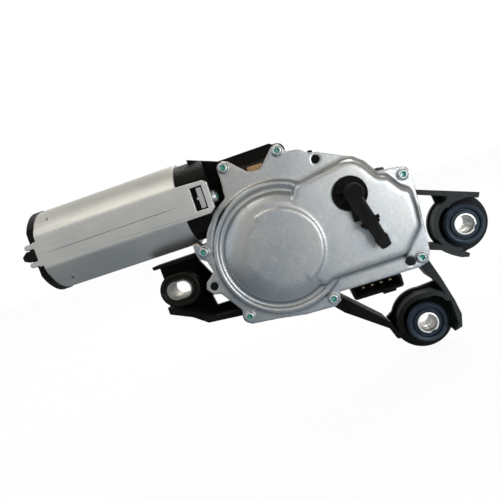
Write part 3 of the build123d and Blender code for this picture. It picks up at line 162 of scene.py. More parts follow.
class Finish(Graph):
    """One material, with the nodes that make its pattern."""

    def __init__(self, name):
        self.material = bpy.data.materials.new(name)
        self.material.use_nodes = True
        super().__init__(self.material.node_tree)
        self.shader = self.tree.nodes["Principled BSDF"]

    def spot(self):
        return self.node("ShaderNodeTexCoord", None, out="Object")

    def along(self):
        """x, depth behind the cover face and z of the point, in millimetres."""
        x, y, z = (self.part(self.spot(), number) for number in range(3))
        return x * PER_METRE, (y - COVER_FACE) * PER_METRE, z * PER_METRE

    def noise(self, size, detail=2.0, roughness=0.5, stretch=None, turn=None, shift=0.0):
        """Soft random shades whose patches are about size millimetres across."""
        where = self.spot()
        if stretch or turn or shift:
            where = self.node("ShaderNodeMapping", None, Vector=where, Scale=stretch or (1, 1, 1),
                              Rotation=turn or (0, 0, 0), Location=(shift, shift, shift))
        return self.node("ShaderNodeTexNoise", None, Vector=where, Scale=1.0 / (size * MM),
                         Detail=detail, Roughness=roughness)

    def scratches(self, length, thin, turn, edge=0.70):
        """Short fine lines in one direction."""
        line = self.noise(thin, 1, 0.3, (1, 1, thin / length), turn)
        patch = self.noise(length * 1.5, 1, 0.5, shift=0.37)
        return line.fade(edge, edge + 0.04) * patch.fade(0.5, 0.62)

    def edges(self, radius):
        """1 along sharp edges and 0 on flats."""
        rounded = self.node("ShaderNodeBevel", {"samples": 6}, Radius=radius * MM)
        flat = self.node("ShaderNodeNewGeometry", None, out="Normal")
        match = self.node("ShaderNodeVectorMath", {"operation": "DOT_PRODUCT"},
                          rounded, flat, out="Value")
        return match.fade(0.995, 0.90)

    def bump(self, height, depth, soft=None):
        """A bump of the given depth in millimetres, over rounded edges where soft is given."""
        named = {"Height": height, "Strength": 1.0, "Distance": depth * MM}
        if soft:
            named["Normal"] = self.node("ShaderNodeBevel", {"samples": 8}, Radius=soft * MM)
        return self.node("ShaderNodeBump", None, **named)

    def coat(self, **sockets):
        for key, value in sockets.items():
            self.feed(self.shader.inputs[key.replace("_", " ")], value)
        return self.material


# Metals

def sheet_zinc():
    """Zinc-plated pressed sheet: satin and finely speckled, with faint clouds and scuffs."""
    f = Finish("cover_zinc")
    cloud = f.noise(19, 3)
    grain = f.noise(0.8, 4, 0.75)
    speck = f.noise(1.3, 2, 0.6)
    blotch = f.noise(4.5, 4, 0.6)
    tone = f.mix(cloud.fade(0.35, 0.65), (0.46, 0.48, 0.50), (0.53, 0.52, 0.50))
    tone = f.mix(grain.fade(0.35, 0.65, 0.0, 0.55), tone, (0.30, 0.31, 0.33))
    tone = f.mix(blotch.fade(0.58, 0.78, 0.0, 0.45), tone, (0.66, 0.66, 0.64))
    tone = f.mix(blotch.fade(0.42, 0.30, 0.0, 0.35), tone, (0.36, 0.37, 0.40))
    scuff = f.scratches(9, 0.10, (0, 0.5, 0)) + f.scratches(14, 0.09, (0, -0.9, 0), 0.71)
    tone = f.mix((scuff * 0.6).capped(), tone, (0.20, 0.20, 0.21))
    return f.coat(
        Base_Color=tone, Metallic=1.0,
        Roughness=speck.fade(0.3, 0.7, 0.34, 0.42) + cloud.fade(0.3, 0.7, -0.03, 0.04),
        Normal=f.bump(grain + speck * 0.6, 0.022))


def can_zinc():
    """Galvanised sheet of the motor can, with its seam, punch marks and rolling streaks."""
    f = Finish("can_zinc")
    x, depth, z = f.along()
    cloud = f.noise(26, 3)
    grain = f.noise(0.5, 3, 0.7)
    streak = f.noise(1.6, 3, 0.6, (0.06, 1, 1))
    tone = f.mix(cloud.fade(0.35, 0.65), (0.62, 0.62, 0.60), (0.71, 0.69, 0.65))
    tone = f.mix(streak.fade(0.4, 0.75, 0.0, 0.30), tone, (0.48, 0.485, 0.49))
    tone = f.mix(grain.fade(0.4, 0.70, 0.0, 0.40), tone, (0.44, 0.445, 0.45))
    front = depth.fade(-6.0, -7.0)
    seam = z.near(21.2, 0.10, 0.10) * x.near(-124.0, 31.0, 8.0) * front
    faint = (z + x * 0.03).near(15.0 - 3.15, 0.12, 0.2) * x.near(-100.0, 16.0, 14.0) * front
    marks = (seam + faint * 0.35).capped()
    for at_x, at_z in ((-157.8, 38.5), (-156.0, 4.2)):
        away = abs(x - at_x).larger(abs(z - at_z) * 0.7)
        marks = (marks + away.fade(0.35, 0.75, 1.0, 0.0) * depth.fade(4.0, 3.0)).capped()
    tone = f.mix(marks * 0.8, tone, (0.10, 0.10, 0.10))
    return f.coat(
        Base_Color=tone, Metallic=0.95,
        Roughness=cloud.fade(0.3, 0.7, 0.42, 0.50) + streak.fade(0.3, 0.7, -0.03, 0.03),
        Normal=f.bump(grain * 0.7 + streak * 0.5 - marks * 8.0, 0.012, soft=0.8))


def sleeve_metal():
    """Bare steel of the sleeves: bright at the cut front edge, and drawn inside, where a painted
    shade makes it greyer.
    """
    f = Finish("sleeve_zinc")
    x, depth, z = f.along()
    grain = f.noise(0.5, 3, 0.7)
    # painted shade: the colour darkens from the front edge into the bore
    inside = depth.fade(0.15, 0.9)
    tone = f.mix(inside, (0.92, 0.92, 0.91), f.mix(grain, (0.34, 0.335, 0.32), (0.52, 0.51, 0.49)))
    return f.coat(Base_Color=tone, Metallic=inside.fade(0, 1, 0.55, 1.0),
                  Roughness=grain.fade(0.3, 0.7, 0.26, 0.38), Normal=f.bump(grain, 0.006))


def bright_metal(name, tone, rough):
    """Plated or turned metal with fine marks, lighter where it is rubbed."""
    f = Finish(name)
    cloud = f.noise(3, 3)
    grain = f.noise(0.3, 3, 0.7)
    shade = f.mix(cloud.fade(0.3, 0.7), tuple(c * 0.88 for c in tone), tone)
    shade = f.mix(f.edges(0.2) * 0.5, shade, tuple(min(1.0, c * 1.25) for c in tone))
    return f.coat(
        Base_Color=shade, Metallic=1.0,
        Roughness=grain.fade(0.3, 0.7, rough - 0.05, rough + 0.07),
        Normal=f.bump(grain, 0.006, soft=0.15))


# Plastics, rubber and the rest

WARM_CAST = (0.004, 0.002, 0.0)
UPWARD_PALE = (0.026, 0.0235, 0.020)
PAINTED_BLUE_SHEEN = (0.080, 0.094, 0.102)      # painted reflection: the blue-grey sheen of light on the two right ears, also made paler to offset the too-strong grain


def added(tone, more):
    """A colour with another laid over it."""
    return tuple(c + k for c, k in zip(tone, more))


def moulded(name, tone, rough, grain_size=0.25, warm=0.0):
    """Moulded black plastic, paler where edges are rubbed and in patches on upward faces, with a
    painted blue-grey reflection towards the right ears; its grain gets rougher with the depth
    behind the cover face, more than the real plastic's does."""
    f = Finish(name)
    cloud = f.noise(11, 3)
    grain = f.noise(grain_size, 2, 0.6)
    light = tuple(c * 1.5 + 0.003 + warm * k for c, k in zip(tone, WARM_CAST))
    shade = f.mix(cloud.fade(0.35, 0.7), tone, light)
    shade = f.mix(f.edges(0.3) * 0.35, shade, tuple(c * 2.5 + 0.012 for c in tone))
    x, depth, z = f.along()
    upward = f.part(f.node("ShaderNodeNewGeometry", None, out="Normal"), 2)
    # upward faces turn paler and browner, in patches
    upward_pale = upward.fade(0.15, 0.85) * cloud.fade(0.25, 0.6, 0.5, 1.0)
    shade = f.mix(upward_pale * 0.5, shade, added(tone, UPWARD_PALE))
    # painted reflection: from x 6 to 38 mm the colour turns to the painted blue-grey sheen
    shade = f.mix(x.fade(6.0, 38.0), shade, added(tone, PAINTED_BLUE_SHEEN))
    f.shader.inputs["Specular IOR Level"].default_value = 0.15
    return f.coat(
        Base_Color=shade,
        Roughness=cloud.fade(0.3, 0.7, rough - 0.06, rough + 0.06),
        Normal=f.bump(grain, depth, soft=0.35))


def rubber_finish(name, tone, bloom_and_highlight_tone, gloss, tint):
    """Smooth rubber with a faint bloom and a painted highlight along its edges."""
    f = Finish(name)
    bloom = f.noise(5, 4, 0.65)
    shade = f.mix(bloom.fade(0.4, 0.75), tone, bloom_and_highlight_tone)
    # painted highlight: edges lighter, in three times the bloom's colour
    shade = f.mix(f.edges(0.6) * 0.6, shade, tuple(c * 3.0 + 0.006 for c in bloom_and_highlight_tone))
    f.shader.inputs["Specular IOR Level"].default_value = gloss
    f.shader.inputs["Specular Tint"].default_value = (*tint, 1.0)
    return f.coat(
        Base_Color=shade, Roughness=bloom.fade(0.3, 0.7, 0.30, 0.44),
        Normal=f.bump(f.noise(0.5, 2), 0.006, soft=0.4))


def fibre():
    """Brown pressed-fibre gasket, speckled."""
    f = Finish("fibre")
    fleck = f.noise(0.7, 4, 0.75)
    shade = f.mix(fleck.fade(0.35, 0.65), (0.13, 0.07, 0.028), (0.36, 0.23, 0.11))
    return f.coat(Base_Color=shade, Roughness=fleck.fade(0.3, 0.7, 0.75, 0.92),
                  Normal=f.bump(fleck, 0.03))


def sealing_paint():
    """Green sealing paint that half covers the bare metal of a recess."""
    f = Finish("sealing_paint")
    patch = f.noise(1.1, 3, 0.6)
    bare = patch.fade(0.57, 0.62)
    shade = f.mix(bare, (0.004, 0.27, 0.20), (0.55, 0.56, 0.56))
    return f.coat(Base_Color=shade, Metallic=bare, Roughness=bare.fade(0, 1, 0.38, 0.25),
                  Normal=f.bump(patch, 0.10))


def matt(name, tone_a, tone_b, size, rough):
    """A plain matt stuff with its own grain: ferrite, laminations, board, nylon."""
    f = Finish(name)
    grain = f.noise(size, 3, 0.6)
    return f.coat(Base_Color=f.mix(grain.fade(0.35, 0.65), tone_a, tone_b),
                  Roughness=grain.fade(0.3, 0.7, rough - 0.06, rough + 0.06),
                  Normal=f.bump(grain, 0.01, soft=0.2))


BLACK = (0.0050, 0.0049, 0.0045)
finishes = {
    "cover_zinc": sheet_zinc(),
    "can_zinc": can_zinc(),
    "catch_zinc": bright_metal("catch_zinc", (0.55, 0.55, 0.54), 0.42),
    "housing_plastic": moulded("housing_plastic", BLACK, 0.42, warm=1.0),
    "peg_plastic": moulded("peg_plastic", (0.007, 0.007, 0.008), 0.36),
    "elbow_plastic": moulded("elbow_plastic", (0.0200, 0.0197, 0.0190), 0.36, 0.2),
    "connector_plastic": moulded("connector_plastic", (0.005, 0.005, 0.0055), 0.42),
    "rubber": rubber_finish("rubber", (0.0040, 0.0056, 0.0080), (0.012, 0.019, 0.030),
                            0.42, (0.62, 0.80, 1.0)),
    "rubber_black": rubber_finish("rubber_black", (0.0034, 0.0032, 0.0028),
                                  (0.006, 0.0055, 0.0048), 0.14, (1.0, 0.94, 0.84)),
    "sleeve_zinc": sleeve_metal(),
    "screw_zinc": bright_metal("screw_zinc", (0.50, 0.51, 0.52), 0.34),
    "sealing_paint": sealing_paint(),
    "slot_steel": bright_metal("slot_steel", (0.34, 0.33, 0.305), 0.44),
    "tin": bright_metal("tin", (0.30, 0.26, 0.16), 0.36),
    "steel": bright_metal("steel", (0.50, 0.50, 0.49), 0.30),
    "sinter": matt("sinter", (0.20, 0.17, 0.13), (0.32, 0.27, 0.20), 0.5, 0.55),
    "gasket_fibre": fibre(),
    "ferrite": matt("ferrite", (0.05, 0.05, 0.055), (0.09, 0.09, 0.095), 1.2, 0.62),
    "lamination": matt("lamination", (0.20, 0.19, 0.18), (0.30, 0.29, 0.28), 0.8, 0.5),
    "copper": matt("copper", (0.45, 0.17, 0.07), (0.62, 0.27, 0.13), 0.6, 0.35),
    "carbon": matt("carbon", (0.03, 0.03, 0.03), (0.07, 0.065, 0.06), 0.5, 0.6),
    "brown_board": matt("brown_board", (0.20, 0.09, 0.035), (0.30, 0.15, 0.07), 0.9, 0.6),
    "gear_nylon": matt("gear_nylon", (0.72, 0.70, 0.62), (0.80, 0.78, 0.70), 2.0, 0.42),
    "park_brass": bright_metal("park_brass", (0.66, 0.47, 0.18), 0.3),
}

DRESS = {
    "gear_housing": "housing_plastic", "locating_pegs": "peg_plastic",
    "cover_gasket": "gasket_fibre", "cover_plate": "cover_zinc",
    "cover_screws": "screw_zinc", "washer_elbow": "elbow_plastic",
    "connector_shell": "connector_plastic", "terminal_pins": "tin",
    "grommet_right": "rubber", "grommet_lower": "rubber", "grommet_slot": "rubber_black",
    "sleeve_right": "sleeve_zinc", "sleeve_lower": "sleeve_zinc",
    "sleeve_slot": "slot_steel", "motor_can": "can_zinc", "tongue_catch": "catch_zinc",
    "end_cap": "housing_plastic", "rear_bearing": "sinter", "thrust_pad": "gear_nylon",
    "mid_bearing": "sinter", "front_bearing": "sinter", "magnets": "ferrite",
    "worm_shaft": "steel", "armature_core": "lamination", "windings": "copper",
    "commutator": "copper", "brush_holder": "brown_board", "brushes": "carbon",
    "neck_screws": "screw_zinc", "worm_wheel": "gear_nylon", "wheel_axle": "steel",
    "thrust_washer": "steel", "crank_pin": "steel", "crank_washer": "steel",
    "contact_disc": "park_brass", "sector_lever": "steel", "link_plate": "steel",
    "link_pin": "steel", "output_spindle": "steel", "spindle_bushes": "sinter",
    "spindle_seal": "rubber", "spindle_washer": "steel", "spindle_clip": "steel",
    "choke_carrier": "gear_nylon", "chokes": "copper", "contact_springs": "park_brass",
}
for name, node in nodes.items():
    node.data.materials.clear()
    node.data.materials.append(finishes[DRESS[name]])


# Modelling by hand: shapes are made at the origin, looking up, and then carried to their place

def start(kind, **settings):
    """A new primitive, selected alone and open for editing; sizes are in millimetres."""
    bpy.ops.object.select_all(action="DESELECT")
    for key in ("radius", "radius1", "radius2", "depth", "size"):
        if key in settings:
            settings[key] *= MM
    getattr(bpy.ops.mesh, "primitive_" + kind + "_add")(**settings)
    bpy.ops.object.transform_apply(location=True, rotation=True, scale=True)
    bpy.ops.object.mode_set(mode="EDIT")
    bpy.ops.mesh.select_mode(type="VERT")
    bpy.ops.mesh.select_all(action="SELECT")
    return bpy.context.object


def copied(node):
    """A merged copy of a solid's mesh, open for editing."""
    bpy.ops.object.select_all(action="DESELECT")
    piece = bpy.data.objects.new(node + "_copy", nodes[node].data.copy())
    bpy.context.scene.collection.objects.link(piece)
    piece.select_set(True)
    bpy.context.view_layer.objects.active = piece
    piece.data.materials.clear()
    bpy.ops.object.mode_set(mode="EDIT")
    bpy.ops.mesh.select_mode(type="VERT")
    bpy.ops.mesh.select_all(action="SELECT")
    bpy.ops.mesh.remove_doubles(threshold=0.01 * MM)
    return piece


def soften(passes):
    """Evens out what is selected."""
    bpy.ops.mesh.vertices_smooth(factor=0.5, repeat=passes)


def blend_shells(voxel, passes):
    """Turns overlapping shells into one skin and softens it, as a mould's fillets do."""
    bpy.ops.object.mode_set(mode="OBJECT")
    piece = bpy.context.object
    skin = piece.modifiers.new("skin", "REMESH")
    skin.mode = "VOXEL"
    skin.voxel_size = voxel * MM
    bpy.ops.object.modifier_apply(modifier=skin.name)
    bpy.ops.object.mode_set(mode="EDIT")
    bpy.ops.mesh.select_mode(type="VERT")
    bpy.ops.mesh.select_all(action="SELECT")
    soften(passes)


def pick(test, kind="FACE"):
    """Selects the faces, edges or vertices whose middle, in millimetres, and way pass a test."""
    mesh = bmesh.from_edit_mesh(bpy.context.object.data)
    bpy.ops.mesh.select_mode(type=kind)
    bpy.ops.mesh.select_all(action="DESELECT")
    items = {"FACE": mesh.faces, "EDGE": mesh.edges, "VERT": mesh.verts}[kind]
    for item in items:
        if kind == "FACE":
            spot, way = item.calc_center_median(), item.normal
        elif kind == "EDGE":
            spot, way = (item.verts[0].co + item.verts[1].co) / 2, item.verts[0].normal
        else:
            spot, way = item.co, item.normal
        item.select_set(bool(test(spot / MM, way)))
    mesh.select_flush_mode()
    bmesh.update_edit_mesh(bpy.context.object.data)


def pull(x=0.0, y=0.0, z=0.0):
    """Extrudes what is selected by a way in millimetres."""
    bpy.ops.mesh.extrude_region_move(
        TRANSFORM_OT_translate={"value": (x * MM, y * MM, z * MM)})


def shrink(amount, rise=0.0):
    """Insets the selected faces and lifts them."""
    bpy.ops.mesh.inset(thickness=amount * MM, depth=rise * MM)


def scale(across, up=1.0, centre=(0, 0, 0)):
    bpy.ops.transform.resize(value=(across, across, up), center_override=centre)


def ease(width, angle):
    """Rounds the finished shape's edges."""
    bpy.ops.object.mode_set(mode="OBJECT")
    piece = bpy.context.object
    edge = piece.modifiers.new("ease", "BEVEL")
    edge.width = width * MM
    edge.segments = 2
    edge.limit_method = "ANGLE"
    edge.angle_limit = math.radians(angle)
    bpy.ops.object.modifier_apply(modifier=edge.name)
    return piece


FACING = Matrix.Rotation(math.radians(90), 4, "X")        # up becomes towards the cover's side
AWAY = Matrix.Rotation(math.radians(-90), 4, "X")         # up becomes away from it
RIGHTWARD = Matrix.Rotation(math.radians(90), 4, "Y")     # up becomes to the right


def settle(piece, name, finish, where, way=FACING, twist=0.0, size=1.0, body="housing",
           smooth=40.0):
    """Carries a shape to its place, leaves its object at the origin and gives it to a body."""
    if bpy.context.object and bpy.context.object.mode == "EDIT":
        bpy.ops.object.mode_set(mode="OBJECT")
    bpy.ops.object.select_all(action="DESELECT")
    piece.select_set(True)
    bpy.context.view_layer.objects.active = piece
    piece.name = name
    piece.data.name = name
    turn = way @ Matrix.Rotation(math.radians(twist), 4, "Z") @ Matrix.Scale(size, 4)
    piece.matrix_world = Matrix.Translation(where) @ turn
    bpy.ops.object.transform_apply(location=True, rotation=True, scale=True)
    bpy.ops.object.shade_smooth_by_angle(angle=math.radians(smooth))
    if not piece.data.materials:
        piece.data.materials.append(None)
    piece.data.materials[0] = finishes[finish]
    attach(piece, body)
    return piece


def again(piece):
    """A copy of a shape with its own mesh."""
    twin = piece.copy()
    twin.data = piece.data.copy()
    bpy.context.scene.collection.objects.link(twin)
    return twin


# Cover screws and neck screws: one pan head with a collar and a six-lobed recess

HEAD_R = 3.25
HEAD_H = 2.3
RECESS_R = 1.55


def screw_shape():
    """The screw looking up from the cover, with the paint in its recess."""
    screw = start("cylinder", vertices=48, radius=HEAD_R, depth=0.55)
    bpy.ops.transform.translate(value=(0, 0, 0.275 * MM))
    pick(lambda at, way: way.z > 0.9)
    shrink(0.35)
    pull(z=0.85)
    shrink(0.25, 0.45)
    shrink(0.55, 0.45)
    shrink(HEAD_R - 1.15 - RECESS_R)
    wave = lambda at: math.cos(6 * math.atan2(at.y, at.x))
    pick(lambda at, way: at.length > 0.2 and at.xy.length < RECESS_R + 0.01 and at.z > 2.2
         and wave(at) < -0.5, "VERT")
    scale(0.80)
    pick(lambda at, way: at.z > 2.2 and at.xy.length < 0.3 and way.z > 0.9)
    pull(z=-1.3)
    scale(0.86)
    pick(lambda at, way: way.z < -0.9 and at.xy.length < 0.3)
    shrink(HEAD_R - 1.9)
    pull(z=-13.5)
    piece = ease(0.10, 40)
    bpy.ops.object.mode_set(mode="EDIT")
    piece.data.materials.append(finishes["screw_zinc"])
    piece.data.materials.append(finishes["sealing_paint"])
    pick(lambda at, way: 0.5 < at.z < 2.35 and at.xy.length < RECESS_R + 0.05
         and (at.y > -0.9 or at.z < 1.3))
    piece.active_material_index = 1
    bpy.ops.object.material_slot_assign()
    bpy.ops.object.mode_set(mode="OBJECT")
    return piece


SCREW_PLACES = [(-57.5, 33.3), (-28.1, 32.6), (28.6, 0.6), (25.3, -42.9), (-23.8, -50.0),
                (-69.1, -45.9), (-81.6, -5.5)]
COVER_TOP = -1.8
screw = screw_shape()
for number, (x, z) in enumerate(SCREW_PLACES):
    piece = settle(again(screw), f"cover_screw_{number + 1}", "screw_zinc",
                   place(x, COVER_TOP, z), twist=(47 * number) % 360 - 60)
    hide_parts("cover_screws")
NECK_END = -68.0
MOTOR_Z = 22.2
for number, (depth, z) in enumerate(((0.5, MOTOR_Z - 1.3), (25.5, MOTOR_Z + 1.3))):
    piece = settle(again(screw), f"neck_screw_{number + 1}", "screw_zinc",
                   place(NECK_END, depth, z), RIGHTWARD, twist=31 + 80 * number,
                   size=2.8 / HEAD_H)
    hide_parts("neck_screws")
bpy.data.objects.remove(screw)


# Rolled sleeves of the two round ears, with their seam and the rings pressed inside

SLEEVE_R = 5.5
SLEEVE_WALL = 0.8
SLEEVE_LEN = 20.0


def sleeve_shape():
    """A sleeve rolled from strip, open along its seam."""
    sleeve = start("circle", vertices=90, radius=SLEEVE_R - SLEEVE_WALL / 2)
    steps = [(0.7, 0.97), (2.3, 1.0), (0.35, 0.975), (0.9, 1.0), (0.35, 1.0 / 0.975), (2.4, 1.0),
             (0.35, 0.975), (0.9, 1.0), (0.35, 1.0 / 0.975), (2.4, 1.0), (0.35, 0.975),
             (0.9, 1.0), (0.35, 1.0 / 0.975), (7.4, 1.0 / 0.97)]
    bpy.ops.mesh.select_all(action="SELECT")
    for rise, across in steps:
        pull(z=-rise)
        scale(across)
    pick(lambda at, way: abs(math.degrees(math.atan2(at.y, at.x)) - 4) < 1.9)
    bpy.ops.mesh.delete(type="FACE")
    pick(lambda at, way: at.z > -0.01 and abs(math.degrees(math.atan2(at.y, at.x)) - 4) < 11,
         "VERT")
    bpy.ops.transform.translate(value=(0, 0, -0.6 * MM))
    bpy.ops.object.mode_set(mode="OBJECT")
    wall = sleeve.modifiers.new("wall", "SOLIDIFY")
    wall.thickness = (SLEEVE_WALL - 0.1) * MM
    wall.offset = 0.0
    bpy.ops.object.modifier_apply(modifier=wall.name)
    return ease(0.12, 50)


sleeve = sleeve_shape()
EARS = {"sleeve_right": ((51.5, -33.7), -38.0), "sleeve_lower": ((19.2, -77.6), -80.0)}
for node, ((x, z), twist) in EARS.items():
    piece = settle(again(sleeve), node + "_rolled", "sleeve_zinc", place(x, 0.0, z), twist=twist)
    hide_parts(node)
bpy.data.objects.remove(sleeve)


# Ringed rubber lip around the slot of the left ear

SLOT_AT = (-101.6, -20.9)
SLOT_HALF = 2.15
lip = start("circle", vertices=64, radius=9.0, fill_type="NGON")
bpy.ops.transform.translate(value=(0, 0, -1.3 * MM))
for side in (-1, 1):
    pick(lambda at, way: at.x * side > 0.01, "VERT")
    bpy.ops.transform.translate(value=(side * SLOT_HALF * MM, 0, 0))
pick(lambda at, way: way.z > 0.5)
for inward, rise in ((0.5, 0.45), (0.7, 0.2), (0.4, -0.2), (0.4, -0.6), (0.7, -0.1), (0.35, 0.65),
                     (0.7, 0.25), (0.7, -0.05), (0.35, -0.3)):
    shrink(inward, rise)
bpy.ops.mesh.delete(type="FACE")
bpy.ops.object.mode_set(mode="OBJECT")
skin = lip.modifiers.new("skin", "SOLIDIFY")
skin.thickness = 0.35 * MM
skin.offset = -1.0
bpy.ops.object.modifier_apply(modifier=skin.name)
settle(lip, "grommet_slot_lip", "rubber_black", place(SLOT_AT[0], 0.0, SLOT_AT[1]),
       smooth=50.0)


# Pressed cover: the solid's sheet, with the soft bends that a press leaves

DOME_X, DOME_Z, DOME_R = -42.5, -15.5, 21.7
BEND_START = -2.4 + COVER_FACE / MM
PLATEAU = -8.0 + COVER_FACE / MM
BEAD_R = 35.5
DOME_SET = Vector((1.2, 0, -1.1))


def from_dome(at):
    """Way from the dome's middle, in millimetres."""
    return math.hypot(at.x - DOME_X, at.z - DOME_Z)


cover = copied("cover_plate")
pick(lambda at, way: at.y < PLATEAU + 0.05 and from_dome(at) < DOME_R + 2.0, "VERT")
bpy.ops.transform.translate(value=DOME_SET * MM)
blend_shells(0.62, 2)
SHOULDER_R = 28.3
pick(lambda at, way: at.y < BEND_START and DOME_R - 4.5 < from_dome(at) < SHOULDER_R
     and at.x < DOME_X + 2 - 0.45 * (at.z - DOME_Z), "VERT")
soften(70)
pick(lambda at, way: at.y < BEND_START and from_dome(at) < BEAD_R
     and abs(from_dome(at) - DOME_R) > 4.0, "VERT")
soften(3)
pick(lambda at, way: at.y < BEND_START and from_dome(at) > BEAD_R, "VERT")
soften(18)
cover = settle(cover, "cover_pressed", "cover_zinc", Vector(), Matrix())
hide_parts("cover_plate")


# Washer elbow: flange with a raised rim, domed hub, gussets, pipe with its stops and barb

def tapered(rings):
    """A turned shape: each ring is the height and radius of one step, in millimetres."""
    (low, radius), *rest = rings
    start("circle", vertices=48, radius=radius, fill_type="NGON")
    bpy.ops.transform.translate(value=(0, 0, low * MM))
    for height, across in rest:
        pull(z=height - low)
        scale(across / radius)
        low, radius = height, across


def moved(x, y, z, turn=None):
    """Carries the open shape by a way in millimetres, after a turn."""
    bpy.ops.object.mode_set(mode="OBJECT")
    piece = bpy.context.object
    piece.matrix_world = Matrix.Translation(Vector((x, y, z)) * MM) @ (turn or Matrix())
    bpy.ops.object.transform_apply(location=True, rotation=True, scale=True)
    return piece


def joined(pieces):
    """Several shapes as one, under the first one's name."""
    bpy.ops.object.select_all(action="DESELECT")
    for piece in pieces:
        piece.select_set(True)
    bpy.context.view_layer.objects.active = pieces[0]
    bpy.ops.object.join()
    return pieces[0]


def bar(x0, y0, z0, x1, y1, z1, turn=None, at=(0, 0, 0)):
    """A slightly drafted bar between two corners, turned and then carried to a place."""
    start("cube", size=1.0)
    bpy.ops.transform.resize(value=(x1 - x0, y1 - y0, z1 - z0))
    bpy.ops.transform.translate(
        value=((x0 + x1) / 2 * MM, (y0 + y1) / 2 * MM, (z0 + z1) / 2 * MM))
    pick(lambda spot, way: way.z > 0.9)
    scale(0.96, 1.0, ((x0 + x1) / 2 * MM, (y0 + y1) / 2 * MM, z1 * MM))
    return moved(*at, turn)


PIPE_TIP = (8.5, -30.0)
PIPE_AXIS = 17.5
reach = math.hypot(*PIPE_TIP)
pipe_turn = (Matrix.Rotation(math.atan2(PIPE_TIP[1], PIPE_TIP[0]), 4, "Z")
             @ Matrix.Rotation(math.radians(90), 4, "Y"))
tapered([(7.9, 8.9), (8.6, 9.0), (9.6, 9.0), (10.25, 8.75), (10.25, 8.1), (9.75, 7.9),
         (9.75, 5.0), (9.6, 4.0)])
flange = moved(0, 0, 0)
tapered([(8.5, 5.6), (11.0, 5.2), (18.0, 4.7), (19.8, 4.4), (20.5, 3.9)])
hub = moved(1.3, 0.1, 0)
tapered([(-1.5, 3.4), (0.0, 3.75), (reach * 0.52, 3.5), (reach * 0.55, 3.25),
         (reach * 0.80, 2.9), (reach * 0.81, 3.45), (reach * 0.825, 3.6),
         (reach * 0.87, 3.5), (reach * 0.99, 2.7), (reach, 2.45)])
pick(lambda at, way: way.z > 0.9 and at.z > reach - 0.5)
shrink(1.1)
pull(z=-9.0)
pipe = moved(0, 0, PIPE_AXIS, pipe_turn)
elbow_parts = [flange, hub, pipe]
for away, across, high, thick in ((0.49, 5.2, 1.3, 1.9), (0.56, 4.2, 1.7, 1.2)):
    elbow_parts.append(bar(-high, -across, reach * away, high, across,
                           reach * away + thick, pipe_turn, (0, 0, PIPE_AXIS)))
elbow_parts.append(bar(-3.9, -0.6, reach * 0.20, -2.0, 0.6, reach * 0.50, pipe_turn,
                       (0, 0, PIPE_AXIS)))
for degrees, long, top in ((158, 7.6, 15.0), (208, 8.0, 13.0), (262, 7.2, 13.0), (60, 7.4, 11.2)):
    gusset_turn = Matrix.Rotation(math.radians(degrees), 4, "Z")
    start("cube", size=1.0)
    bpy.ops.transform.resize(value=(long - 3.0, 1.1, top - 9.0))
    bpy.ops.transform.translate(value=((long + 3.0) / 2 * MM, 0, (top + 9.0) / 2 * MM))
    pick(lambda spot, way: spot.z > top - 0.01 and spot.x > long - 0.01, "VERT")
    bpy.ops.transform.translate(value=(-2.2 * MM, 0, 0))
    elbow_parts.append(moved(0, 0, 0, gusset_turn))
elbow_parts.append(bar(-2.2, -14.6, 9.6, 1.5, -7.0, 12.4))
elbow_parts.append(bar(4.9, -2.4, 9.5, 7.1, 1.0, 10.6))
elbow = joined(elbow_parts)
blend_shells(0.21, 2)
elbow = settle(elbow, "washer_elbow_moulded", "elbow_plastic", place(0, 0, 0), smooth=60.0)
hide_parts("washer_elbow")


# Free end of the output spindle: knurled cone and thread

spindle = copied("output_spindle")
THREAD_START = 61.0
THREAD_CORE = 0.85
pick(lambda at, way: at.y - COVER_FACE / MM > THREAD_START + 0.05
     and at.xz.length > 3.2, "VERT")
bpy.ops.transform.resize(value=(THREAD_CORE, 1, THREAD_CORE), center_override=(0, 0, 0))
bpy.ops.object.mode_set(mode="OBJECT")
thread = start("circle", vertices=3, radius=0.46,
               rotation=(math.radians(90), math.radians(90), 0))
bpy.ops.transform.translate(value=(3.54 * MM, 0, 0))
bpy.ops.object.mode_set(mode="OBJECT")
helix = thread.modifiers.new("thread", "SCREW")
helix.screw_offset = 1.25 * MM
helix.iterations = 9
helix.steps = helix.render_steps = 40
helix.use_merge_vertices = False
bpy.ops.object.modifier_apply(modifier=helix.name)
bpy.ops.object.mode_set(mode="EDIT")
bpy.ops.mesh.select_mode(type="EDGE")
bpy.ops.mesh.select_all(action="DESELECT")
bpy.ops.mesh.select_non_manifold()
bpy.ops.mesh.fill()
bpy.ops.mesh.select_all(action="SELECT")
bpy.ops.mesh.normals_make_consistent(inside=False)
thread = moved(0, COVER_FACE / MM + THREAD_START + 0.5, 0, AWAY)
knurl = start("cone", vertices=72, radius1=5.12, radius2=4.42, depth=5.8)
bpy.ops.mesh.select_all(action="DESELECT")
pick(lambda at, way: abs(math.sin(18 * math.atan2(at.y, at.x))) < 0.5 and at.xy.length > 1,
     "VERT")
scale(0.955)
knurl = moved(0, COVER_FACE / MM + 55.1 + 2.9, 0, AWAY)
spindle = joined([spindle, thread, knurl])
spindle = settle(spindle, "spindle_threaded", "steel", Vector(), Matrix(), body="spindle",
                 smooth=30.0)
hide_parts("output_spindle")


# Floor, light and camera

